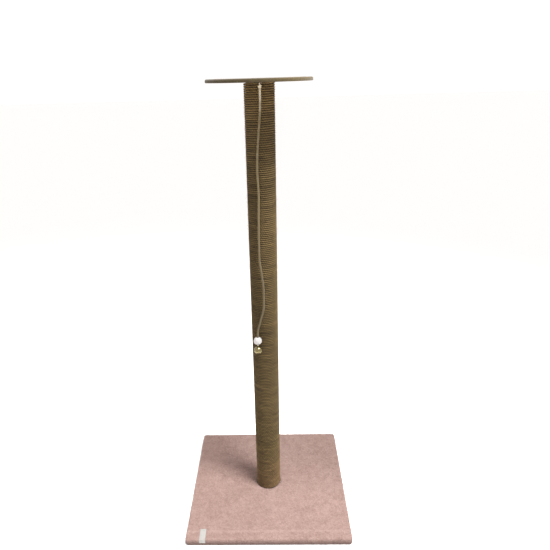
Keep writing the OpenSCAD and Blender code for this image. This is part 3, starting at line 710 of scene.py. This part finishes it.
def cord_finish(look, name, worn):
    """Soft laid cord, cream all over, or cream at its top and tan lower down."""
    m = Finish(name, Roughness=0.85, Sheen_Weight=0.2, Specular_IOR_Level=0.25)
    place = m.strand_place(3.0, 90.0)
    yarn = m.noise(2.0, 3.0, 0.6, place=place)
    if worn:
        along = m.read("along")
        drop = m.plus(along, m.span(m.noise(30.0), 0.3, 0.7, -0.03, 0.03))
        tan = m.mix(m.ease(drop, *CORD_DARKENS), tint(look.tan), tint(look.tan, 0.6))
        clean = m.times(m.span(m.noise(0.9, place=place), 0.56, 0.66), m.span(along, *CORD_FLECKS_END), 0.2)
        tan = m.mix(clean, tan, tint(look.cream))
        shade = m.mix(m.ease(drop, *CORD_WEARS), tint(look.cream), tan)
    else:
        shade = m.mottled(yarn, tint(look.cream, 0.8), tint(look.cream))
    # Painted shade between the cord's strands, towards a dark tan
    level = m.span(m.read("ridge"), -0.2, 1.0, 0.45, 1.0)
    level = m.times(level, m.span(yarn, 0.3, 0.7, 0.7, 1.1), clamp=True)
    return m.done(m.mix(level, tint(look.tan, 0.35), shade), yarn, distance=0.0005, strength=0.6)


def board_finish():
    m = Finish("Chipboard", Roughness=0.75)
    flat = m.vector("MULTIPLY", m.place, (1.0, 1.6, 2.5))
    chips = m.add("ShaderNodeTexVoronoi", Vector=flat, Scale=170.0, Randomness=1.0)
    tone = m.xyz(chips.outputs["Color"])[0]
    shade = m.mix(tone, (0.40, 0.27, 0.14, 1), (0.66, 0.50, 0.31, 1))
    edge = m.span(chips.outputs["Distance"], 0.55, 0.8)
    shade = m.mix(edge, shade, (0.30, 0.19, 0.10, 1))
    return m.done(shade, chips.outputs["Distance"], distance=0.0004, strength=0.5)


def card_finish():
    """Kraft board wound in a spiral, with a dark seam, darkened all over as painted shade."""
    m = Finish("Kraft board", Roughness=0.85)
    strip = 0.13
    x, y, z = m.xyz(m.place)
    turns = m.math("DIVIDE", m.math("ARCTAN2", y, x), math.tau)
    seam = m.math("FRACT", m.plus(m.math("DIVIDE", z, strip), turns))
    drawn = m.vector("MULTIPLY", m.place, (1.0, 1.0, 0.3))
    grain = m.noise(240.0, 3.0, place=drawn)
    # Darker than kraft's own colour: painted shade, for where it shows in the gap under the perch
    shade = m.mottled(grain, (0.15, 0.10, 0.058, 1), (0.22, 0.155, 0.09, 1))
    shade = m.mix(m.span(seam, 0.0, 0.02), (0.09, 0.06, 0.035, 1), shade)
    return m.done(shade, grain, distance=0.0003, strength=0.5)


def wood_finish():
    """Softwood with rings about a heart that lies outside the plug."""
    m = Finish("Turned softwood", Roughness=0.7)
    x, y, _ = m.xyz(m.vector("ADD", m.place, (0.02, 0.05, 0.0)))
    far = m.plus(m.far(x, y), m.times(m.noise(30.0), 0.004))
    ring = m.scaled(m.math("SINE", m.times(far, 2200.0)), 0.5, 0.5)
    shade = m.mix(ring, (0.62, 0.44, 0.25, 1), (0.47, 0.30, 0.15, 1))
    return m.done(shade, ring, distance=0.0002, strength=0.3)


def metal_finish(name, low, high, roughness, scale=400.0, metallic=1.0):
    m = Finish(name, Metallic=metallic)
    spots = m.noise(scale, 3.0, 0.6)
    wear = m.noise(scale * 0.2)
    m.set("Roughness", m.span(wear, 0.3, 0.7, roughness * 0.75, roughness * 1.3))
    return m.done(m.mottled(spots, tint(low), tint(high)), spots, distance=0.0001, strength=0.25)


def pad_finish():
    m = Finish("Dense felt", Roughness=0.97, Sheen_Weight=0.3)
    fuzz = m.noise(700.0, 3.0, 0.7)
    shade = m.mottled(fuzz, (0.035, 0.034, 0.033, 1), (0.10, 0.097, 0.093, 1))
    return m.done(shade, fuzz, distance=0.0006, strength=0.7)


def ball_finish():
    m = Finish("White lacquer", Coat_Weight=0.35, Coat_Roughness=0.08)
    cloud = m.noise(120.0, 3.0)
    m.set("Roughness", m.span(m.noise(300.0, 3.0), 0.35, 0.7, 0.18, 0.34))
    shade = m.mottled(cloud, (0.345, 0.33, 0.325, 1), (0.41, 0.392, 0.385, 1))
    return m.done(shade, m.noise(90.0), distance=0.0003, strength=0.2)


def tag_finish():
    """Fine ribbon, woven of threads across and along it."""
    m = Finish("Woven ribbon", Roughness=0.8, Sheen_Weight=0.2)
    x, y, z = m.xyz(m.place)
    warp = m.math("SINE", m.times(x, 9000.0))
    weft = m.math("SINE", m.times(m.minus(y, z), 7000.0))
    weave = m.times(warp, weft)
    soil = m.noise(130.0, 3.0)
    shade = m.mottled(soil, (0.26, 0.252, 0.238, 1), (0.32, 0.31, 0.292, 1), ends=(0.3, 0.75))
    shade = m.mix(m.span(weave, -1.0, 1.0, 0.0, 0.25), shade, (0.20, 0.196, 0.182, 1))
    return m.done(shade, weave, distance=0.0002, strength=0.5)


# Shapes


def curve_at(p, i, t):
    """A point on the smooth curve through the way points, as the part's source has it."""
    a, b, c, d = p[max(i - 1, 0)], p[i], p[i + 1], p[min(i + 2, len(p) - 1)]
    return b + t * (c - a) / 2 + t**2 * (a - 2.5 * b + 2 * c - d / 2) + t**3 * (1.5 * (b - c) + (d - a) / 2)


def toy_path(step=0.003):
    ways = [
        np.array((x, -(ROPE_FACE * MM_IN_M + off), PERCH_LOW.z * MM_IN_M - drop)) / MM_IN_M
        for x, off, drop in TOY_ROUTE
    ]
    points = []
    for i in range(len(ways) - 1):
        steps = math.ceil(np.linalg.norm(ways[i + 1] - ways[i]) / step)
        points += [curve_at(ways, i, k / steps) for k in range(steps)]
    return points + [ways[-1]]


def knot_path(centre, size, turn, steps=120):
    """A tied overhand knot pulled tight, as a closed line in the form of a trefoil."""
    t = np.linspace(0, math.tau, steps, endpoint=False)
    depth = 1.35
    p = np.stack([np.sin(t) + 2 * np.sin(2 * t), np.cos(t) - 2 * np.cos(2 * t), -depth * np.sin(3 * t)], 1)
    p = p * size / 3
    rotation = np.array(Matrix.Rotation(turn[0], 3, "X") @ Matrix.Rotation(turn[1], 3, "Z"))
    return p @ rotation.T + np.array(centre)


def loop_path(centre, radius, steps=48):
    """An upright ring, square to the sideways axis."""
    t = np.linspace(0, math.tau, steps, endpoint=False)
    return np.stack((np.zeros(steps), np.cos(t), np.sin(t)), 1) * radius + np.array(centre)


def quarter(steps, first=0):
    """Cosines and sines of a quarter turn taken in steps."""
    angles = [k * math.pi / (2 * steps) for k in range(first, steps + 1)]
    return [(math.cos(a), math.sin(a)) for a in angles]


def outward(line):
    """The unit normals of a flat line, from the ways that it runs."""
    normal = np.stack([line[:, 1], -line[:, 0]], 1)
    return normal / np.linalg.norm(normal, axis=1)[:, None]


def cover_shape(cells):
    """The plush cover as a closed sheet round the base: rings from its turned-under edge to its top, and a
    top that dips to the post's foot."""
    within = CORNER_R - PLUSH_T
    shoulder = CORNER_R - EDGE_R
    low, top = COVER_LOW.z, COVER_HIGH.z
    under = low + HEM_R
    corner_steps, hem_steps, wall_steps, shelf_steps, blend_steps = 6, 7, 7, 2, 12

    def ring(half, out, z):
        points = []
        for side in range(4):
            a = side * math.pi / 2
            across, along = Vector((math.cos(a), math.sin(a))), Vector((-math.sin(a), math.cos(a)))
            flat = [across * (half + out) + along * half * (2 * i / cells - 1) for i in range(cells)]
            turns = [a + k / corner_steps * math.pi / 2 for k in range(corner_steps)]
            bent = [(across + along) * half + Vector((math.cos(b), math.sin(b))) * out for b in turns]
            points += [(q.x, q.y, z) for q in flat + bent]
        return points

    inner = [(CORE_HALF, within, top - PLUSH_T), (CORE_HALF, within, under)]
    inner.append((CORE_HALF - RETURN_W, within, under))
    hem = [
        (CORE_HALF - RETURN_W * (1 - k / hem_steps), within + HEM_R * k / hem_steps, low)
        for k in range(hem_steps + 1)
    ]
    bend = [(CORE_HALF, within + HEM_R * (1 + s), low + HEM_R * (1 - c)) for c, s in quarter(3, 1)]
    tall = top - EDGE_R - under
    wall = [(CORE_HALF, CORNER_R, under + tall * k / wall_steps) for k in range(1, wall_steps + 1)]
    edge = [(CORE_HALF, shoulder + EDGE_R * c, top - EDGE_R * (1 - s)) for c, s in quarter(5, 1)]
    shelf = [(CORE_HALF, shoulder * (1 - k / shelf_steps), top) for k in range(1, shelf_steps + 1)]
    rows = inner + hem + bend + wall + edge + shelf
    points = [p for row in rows for p in ring(*row)]
    width = 4 * (cells + corner_steps)
    faces = ring_faces(len(rows), width)
    faces.append(tuple(range(width)))

    # The top is a grid of cells with a square left open round the post
    step = 2 * CORE_HALF / cells
    first = len(points)
    open_cells = 30
    for j in range(cells + 1):
        for i in range(cells + 1):
            points.append((-CORE_HALF + i * step, -CORE_HALF + j * step, top))
    a, b = cells // 2 - open_cells, cells // 2 + open_cells
    for j in range(cells):
        for i in range(cells):
            if not (a <= i < b and a <= j < b):
                k = first + j * (cells + 1) + i
                faces.append((k, k + 1, k + cells + 2, k + cells + 1))

    # Rings fill the square, from under the post over the dip at its foot to the square's border
    border = (
        [(i, a) for i in range(a, b)] + [(b, j) for j in range(a, b)]
        + [(i, b) for i in range(b, a, -1)] + [(a, j) for j in range(b, a, -1)]
    )
    border = np.array([(-CORE_HALF + i * step, -CORE_HALF + j * step) for i, j in border])
    ways = border / np.linalg.norm(border, axis=1)[:, None]
    foot, dip, dip_width, dip_power = ROPE_FACE + 0.0005, 0.004, 0.0036, 0.6
    near = [0.0, 0.02, 0.036, 0.043, *(foot + r for r in (-0.0015, 0.0, 0.001, 0.0022, dip_width, 0.0055))]
    first = len(points)
    for r in near:
        z = top - dip + dip * min(1, max(0, (r - foot) / dip_width)) ** dip_power
        points += [(*way * r, z) for way in ways]
    for k in range(1, blend_steps + 1):
        flat = ways * near[-1] * (1 - k / blend_steps) + border * k / blend_steps
        points += [(*p, top) for p in flat]
    faces += ring_faces(len(near) + blend_steps, len(ways), first)
    return points, faces


def pile_level(mesh):
    """How far the pile stands at each point: none inside, under the post, under the tag or on the
    turned-under edge, and full after a short rise beside each."""
    top_band, skin, floor_gap, floor_rise, post_rise, tag_rise = 0.0045, 0.0005, 0.001, 0.005, 0.004, 0.002
    x, y, z = np.array([v.co for v in mesh.vertices]).T
    beyond = np.hypot(np.maximum(abs(x) - CORE_HALF, 0), np.maximum(abs(y) - CORE_HALF, 0))
    outside = (z > COVER_HIGH.z - top_band) | (beyond > CORNER_R - PLUSH_T + skin)
    level = np.clip((z - COVER_LOW.z - floor_gap) / floor_rise, 0, 1) * outside
    level *= np.clip((np.hypot(x, y) - ROPE_FACE) / post_rise, 0, 1)
    beside = np.maximum(TAG_LOW.x - x, x - TAG_HIGH.x)
    away = np.maximum(beside, np.maximum(y - TAG_HIGH.y, TAG_LOW.z - floor_gap - z))
    return level * np.clip(away / tag_rise, 0, 1)


def perch_outline(look, step=0.0022):
    """The cat-head outline, counterclockwise from the right ear."""
    def turned(a):
        return np.array((math.sin(a), math.cos(a)))

    def arc(a0, a1, radius, centre=(0.0, 0.0)):
        steps = max(2, math.ceil(abs(a1 - a0) * radius / step))
        angles = np.linspace(a0, a1, steps, endpoint=False)
        return [np.array(centre) + radius * np.array((math.cos(a), math.sin(a))) for a in angles]

    def straight(p, q):
        steps = math.ceil(np.linalg.norm(q - p) / step)
        return [p + (q - p) * i / steps for i in range(steps)]

    def bearing(p, centre=(0.0, 0.0)):
        return math.atan2(p[1] - centre[1], p[0] - centre[0])

    half = look.ear_angle / 2
    axis = look.ear_turn - look.ear_lean
    tip = (look.ear_reach - look.ear_tip) * turned(look.ear_turn)
    sides = []
    for s in (1, -1):
        touch = tip + look.ear_tip * turned(axis + s * (math.pi / 2 - half))
        way = -turned(axis - s * half)
        b = touch @ way
        far = -b - math.sqrt(b * b - (touch @ touch - look.radius**2))
        sides.append((touch, touch + way * far))
    (right_touch, right_foot), (left_touch, left_foot) = sides
    ear = straight(right_foot, right_touch)
    ear += arc(bearing(right_touch, tip), bearing(left_touch, tip), look.ear_tip, tip)
    ear += straight(left_touch, left_foot)
    mirrored = [np.array((-p[0], p[1])) for p in (ear + [left_foot])[::-1]]
    crown = arc(bearing(left_foot), math.pi - bearing(left_foot), look.radius)
    rest = arc(math.pi - bearing(right_foot), math.tau + bearing(right_foot), look.radius)
    return np.array(ear + crown + mirrored[:-1] + rest)


def perch_shape(look):
    """The felt over the perch's top and rim, rounded at its edges, with a hole over the bolt."""
    outline = perch_outline(look)
    normal = outward(np.roll(outline, -1, 0) - np.roll(outline, 1, 0))
    low, top, felt = PERCH_LOW.z, PERCH_HIGH.z, look.felt
    round_r, flat_from, hole_edge, top_rings = 0.005, 0.0062, 0.0008, 45

    def inset(depth):
        return outline - normal * depth

    def toward(t, edge):
        inner = outline / np.linalg.norm(outline, axis=1)[:, None] * look.hole
        return inner * (1 - t) + edge * t

    rim = [
        (felt, top - felt), (felt, low), (felt * 0.5, low - 0.0002), (0.0006, low), (0.0001, low + 0.0006),
        (0.0, low + 0.0015), (0.0, low + 0.003), (0.0, low + 0.004),
    ]
    rim += [(round_r * (1 - c), top - round_r * (1 - s)) for c, s in quarter(8)]
    rim.append((flat_from, top))
    edge = inset(flat_from)
    rings = [(inset(depth), z) for depth, z in rim]
    rings += [(toward(t, edge), top) for t in np.linspace(1, 0, top_rings + 1)[1:]]
    rings += [(toward(0.0, edge), z) for z in (top - hole_edge, top - felt)]
    points = [(*p, z) for ring, z in rings for p in ring]
    width = len(outline)
    faces = ring_faces(len(rings), width)
    last = (len(rings) - 1) * width
    faces += [(last + i, last + (i + 1) % width, (i + 1) % width, i) for i in range(width)]
    return points, faces


def tag_shape():
    """A ribbon folded over the front edge, with turned hems at both ends."""
    lift, thick, hem_swell, edge_share, flare, ripple = 0.0006, 0.0009, 1.6, 0.35, 0.0008, 0.00025
    top_rows, down_rows, columns = 16, 6, 15
    top, front, bent = COVER_HIGH.z, -BASE_HALF, EDGE_R + lift
    line = [(y, top + lift) for y in np.linspace(TAG_HIGH.y, front + EDGE_R, top_rows)]
    line += [(front + EDGE_R - bent * s, top - EDGE_R + bent * c) for c, s in quarter(8, 1)]
    down = np.linspace(top - EDGE_R, TAG_LOW.z, down_rows + 1)[1:]
    line += [(front - lift - flare * k * k / down_rows**2, z) for k, z in enumerate(down, 1)]
    line = np.array(line)
    normal = outward(np.gradient(line, axis=0))
    swell = np.ones(len(line)) * thick
    swell[[0, 1, -1, -2]] *= hem_swell
    across = np.linspace(TAG_LOW.x, TAG_HIGH.x, columns)
    points = []
    for face in (1, 0):
        for k, (y, z) in enumerate(line):
            for c, x in enumerate(across):
                share = edge_share if c in (0, columns - 1) else 1.0
                wave = ripple * math.sin(k * 1.1 + c * 0.5)
                d = -normal[k] * (swell[k] * share * face + wave)
                points.append((x, y + d[0], z + d[1]))
    n = len(line) * columns
    faces = ring_faces(len(line), columns, closed=False)
    faces += [face[::-1] for face in ring_faces(len(line), columns, n, closed=False)]
    rim = list(range(columns)) + [columns * (k + 1) - 1 for k in range(1, len(line))]
    rim += list(range(n - 2, n - columns - 1, -1)) + [columns * k for k in range(len(line) - 2, 0, -1)]
    faces += [(i, j, j + n, i + n) for i, j in zip(rim, rim[1:] + rim[:1])]
    return points, faces


# Operators


class SCRATCH_POST_OT_camera(bpy.types.Operator):
    """Sets the camera as the photograph was taken"""

    bl_idname = "scratch_post.camera"
    bl_label = "Camera"

    def execute(self, context):
        look = context.scene.post_view
        turn = Matrix.Rotation(-look.yaw, 4, "Z")
        turn @= Matrix.Rotation(math.pi / 2 - look.pitch, 4, "X") @ Matrix.Rotation(look.roll, 4, "Z")
        data = bpy.data.cameras.new("Camera")
        data.lens, data.sensor_width = look.lens, 36.0
        data.shift_x, data.shift_y = look.shift_x, look.shift_y
        data.clip_start, data.clip_end = 0.05, 100.0
        camera = placed("Camera", data)
        camera.matrix_world = Matrix.Translation(look.place) @ turn
        context.scene.camera = camera
        return {"FINISHED"}


class SCRATCH_POST_OT_toy(bpy.types.Operator):
    """Hangs the cord with its knots, ball and bell"""

    bl_idname = "scratch_post.toy"
    bl_label = "Toy"

    def execute(self, context):
        look = context.scene.post_toy
        tree = laid_cord_tree()
        plain, worn = cord_finish(look, "Cream cord", False), cord_finish(look, "Worn cord", True)
        path = toy_path()
        cord = grow(
            "toy_cord_laid", tree, worn, line_mesh("toy_line", path),
            Diameter=look.diameter, Lay=look.lay, Gap=0.0011,
        )
        middle = (KNOT_LOW + KNOT_HIGH) / 2
        knot_r = (KNOT_HIGH.x - KNOT_LOW.x) / 2
        knot_at = Vector((middle.x, middle.y, KNOT_LOW.z + knot_r - 0.0014))
        loop_at = (middle.x, middle.y, STAPLE_Z + 0.0005)
        top = tied(
            "toy_top_knot_tied", tree, plain,
            (knot_path(knot_at, knot_r - 0.0012, (1.75, 0.3)), dict(Diameter=0.0048, Lay=0.009, Gap=0.0006)),
            (loop_path(loop_at, 0.0032), dict(Diameter=0.0026, Lay=0.008, Gap=0.0006)),
        )
        end_x, end_y = (END_LOW.x + END_HIGH.x) / 2, (END_LOW.y + END_HIGH.y) / 2
        end_r = (END_HIGH.x - END_LOW.x) / 2
        end_at = (end_x, end_y, END_HIGH.z - end_r)
        loop_at = (end_x, end_y, END_LOW.z + STRING_R + STRING_LOOP_R)
        end = tied(
            "toy_end_knot_tied", tree, plain,
            (knot_path(end_at, end_r - 0.0014, (1.2, 0.9)), dict(Diameter=0.0034, Lay=0.008, Gap=0.0007)),
            (loop_path(loop_at, STRING_LOOP_R), dict(Diameter=2 * STRING_R, Lay=0.006, Gap=0.0005)),
        )
        fit(top, "white_cord", "toy_hanger", "toy_top_knot")
        fit(cord, "toy_cord", "toy_line", "toy_cord")
        fit(end, "toy_cord", "toy_line", "toy_end_knot")
        bell = ("bell_eye", "bell_top", "bell_bottom")
        dress(ball_finish(), "toy_ball")
        # The brass is dark and mottled: painted dark reflections over the brass's own tone
        dress(metal_finish("Bell brass", (0.13, 0.105, 0.045), (0.34, 0.29, 0.15), 0.27, 260.0), *bell)
        return {"FINISHED"}


class SCRATCH_POST_OT_plush(bpy.types.Operator):
    """Stretches the plush cover over the base and raises its pile"""

    bl_idname = "scratch_post.plush"
    bl_label = "Plush cover"

    def execute(self, context):
        look = context.scene.post_plush
        material = plush_finish(look)
        # The strands take the pile's colours 1.7 times lighter: partly the pile's lighter tips, partly a
        # painted light on the strands' own shaded sides
        tips = plush_finish(look, "Plush pile tips", gain=1.7, raised=False)
        sheet = piece("cover_cloth", *cover_shape(look.cells), material)
        level = pile_level(sheet.data)
        pile = sheet.data.attributes.new("pile", "FLOAT", "POINT")
        pile.data.foreach_set("value", level.astype(np.float32))
        cover = grow(
            "base_cover_plush", clumped_pile_tree(), material, sheet.data,
            Tuft=look.tuft, Height=look.tuft_height, Swell=look.swell,
        )
        bpy.data.objects.remove(sheet)
        area = 4 * BASE_HALF * BASE_HALF
        strands = grow(
            "base_cover_strands", pile_strand_tree(), tips, cover.data.copy(),
            Density=look.strand_count / area, Length=look.strand,
        )
        fit(cover, "plush", "post", "base_cover")
        fit(strands, "plush", "post", "base_cover")
        return {"FINISHED"}


class SCRATCH_POST_OT_tag(bpy.types.Operator):
    """Folds the blank woven tag over the front edge"""

    bl_idname = "scratch_post.tag"
    bl_label = "Tag"

    def execute(self, context):
        tag = piece("woven_tag_folded", *tag_shape(), tag_finish())
        fit(tag, "tag_weave", "post", "woven_tag")
        return {"FINISHED"}


class SCRATCH_POST_OT_rope(bpy.types.Operator):
    """Winds the sisal rope from the foot to the perch"""

    bl_idname = "scratch_post.rope"
    bl_label = "Sisal rope"

    def execute(self, context):
        look = context.scene.post_rope
        material = sisal_finish(look)
        tree = wound_rope_tree()
        turns = round((look.high - look.low) / look.pitch)
        pitch = (look.high - look.low) / turns
        per_turn = math.hypot(math.tau * look.wrap, pitch)
        for name, a, b, nodes in (
            ("low", 0, turns // 3, ("sisal_lower", "sisal_middle")),
            ("middle", turns // 3, 2 * turns // 3, ("sisal_middle",)),
            ("high", 2 * turns // 3, turns, ("sisal_middle", "sisal_upper")),
        ):
            rope = grow(
                "sisal_rope_" + name, tree, material, Radius=look.wrap, Pitch=pitch, Turns=float(b - a),
                Start_Angle=look.start, Start_Height=look.low + a * pitch, Start_Length=a * per_turn,
                Diameter=look.diameter, Lay=look.lay, Rings=look.ring_count,
            )
            fit(rope, "sisal", "post", *nodes)
        strays = grow(
            "sisal_stray_fibres", stray_fibre_tree(), sisal_finish(look, "Stray sisal", laid=False),
            Radius=look.wrap + look.diameter * 0.47, Low=look.low, High=look.high, Count=look.stray_count,
            Length=look.stray,
        )
        fit(strays, "sisal", "post")
        return {"FINISHED"}


class SCRATCH_POST_OT_perch(bpy.types.Operator):
    """Covers the cat-head perch with felt"""

    bl_idname = "scratch_post.perch"
    bl_label = "Perch"

    def execute(self, context):
        look = context.scene.post_perch
        top = felt_finish("Speckled felt", look.light, look.dark)
        rim = felt_finish("Rim felt", look.rim, [c * 0.45 for c in look.rim], painted_light_right=1.9)
        felt = piece("perch_felt_cover", *perch_shape(look), top)
        felt.data.materials.append(rim)
        flat_above = PERCH_HIGH.z - 0.0002
        for face in felt.data.polygons:
            if face.center.z < flat_above:
                face.material_index = 1
        fit(felt, "perch_felt", "post", "perch_felt")
        return {"FINISHED"}


class SCRATCH_POST_OT_hardware(bpy.types.Operator):
    """Finishes the boards, tube, plugs, pads and metal parts"""

    bl_idname = "scratch_post.hardware"
    bl_label = "Hardware"

    def execute(self, context):
        dress(board_finish(), "base_board", "perch_board")
        dress(card_finish(), "post_tube")
        dress(wood_finish(), "lower_plug", "upper_plug")
        dress(pad_finish(), *(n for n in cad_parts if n.startswith("foot_pad")))
        zinc = metal_finish("Zinc plate", (0.55, 0.56, 0.58), (0.76, 0.77, 0.79), 0.3)
        dress(
            zinc, "base_bolt", "base_washer", "lower_nut", "upper_nut", "lower_rope_tack", "upper_rope_tack",
            "bell_pellet",
        )
        wire = metal_finish("Zinc wire", (0.26, 0.26, 0.265), (0.42, 0.42, 0.425), 0.42, 1200.0)
        dress(wire, "cover_staples", "lower_plug_brads", "upper_plug_brads")
        dull = metal_finish("Dull wire", (0.10, 0.10, 0.10), (0.19, 0.185, 0.18), 0.55, 1200.0, 0.7)
        dress(dull, "toy_staple")
        black = metal_finish("Black oxide", (0.012, 0.012, 0.013), (0.035, 0.034, 0.035), 0.4, 500.0, 0.8)
        dress(black, "perch_bolt", "perch_washer")
        return {"FINISHED"}


class SCRATCH_POST_OT_stage(bpy.types.Operator):
    """Lays the pale floor and sets the soft light"""

    bl_idname = "scratch_post.stage"
    bl_label = "Studio"

    def execute(self, context):
        look = context.scene.post_studio
        scene = context.scene
        scene.view_settings.view_transform = "Standard"
        paint = Finish("Studio floor", Roughness=0.9)
        shade = paint.mix(paint.noise(3.0), tint(look.floor, 0.99), tint(look.floor))
        reach = 40.0
        corners = [(-reach, -reach, 0.0), (reach, -reach, 0.0), (reach, reach, 0.0), (-reach, reach, 0.0)]
        floor = piece("studio_floor", corners, [(0, 1, 2, 3)], paint.done(shade))
        world = bpy.data.worlds.new("Studio")
        world.use_nodes = True
        background = world.node_tree.nodes["Background"].inputs
        background["Color"].default_value = tint(look.surround)
        background["Strength"].default_value = look.sky
        scene.world = world
        data = bpy.data.lights.new("Key", "AREA")
        data.shape = "RECTANGLE"
        data.energy, data.spread = look.key, look.key_spread
        data.size, data.size_y = look.key_size, look.key_height
        lamp = placed("Key", data)
        lamp.location = look.key_place
        way = Vector(look.key_aim) - Vector(look.key_place)
        lamp.rotation_euler = way.to_track_quat("-Z", "Y").to_euler()
        return {"FINISHED"}


OPERATORS = (
    SCRATCH_POST_OT_camera, SCRATCH_POST_OT_toy, SCRATCH_POST_OT_plush, SCRATCH_POST_OT_tag,
    SCRATCH_POST_OT_rope, SCRATCH_POST_OT_perch, SCRATCH_POST_OT_hardware, SCRATCH_POST_OT_stage,
)


class SCRATCH_POST_PT_panel(bpy.types.Panel):
    """Lists the steps that dress the scratching post"""

    bl_idname = "SCRATCH_POST_PT_panel"
    bl_label = "Cat scratching post"
    bl_space_type = "VIEW_3D"
    bl_region_type = "UI"
    bl_category = "Post"

    def draw(self, context):
        for group in GROUPS:
            box = self.layout.box()
            settings = getattr(context.scene, group)
            for name in settings.__annotations__:
                box.prop(settings, name)
        for step in OPERATORS:
            self.layout.operator(step.bl_idname)


def register():
    for kind in (*GROUPS.values(), *OPERATORS, SCRATCH_POST_PT_panel):
        bpy.utils.register_class(kind)
    for name, kind in GROUPS.items():
        setattr(bpy.types.Scene, name, PointerProperty(type=kind))


def unregister():
    for name in GROUPS:
        delattr(bpy.types.Scene, name)
    for kind in reversed((*GROUPS.values(), *OPERATORS, SCRATCH_POST_PT_panel)):
        bpy.utils.unregister_class(kind)


def main():
    register()
    steps = bpy.ops.scratch_post
    steps.camera()
    steps.toy()
    steps.plush()
    steps.tag()
    steps.rope()
    steps.perch()
    steps.hardware()
    steps.stage()


if __name__ == "__main__":
    main()
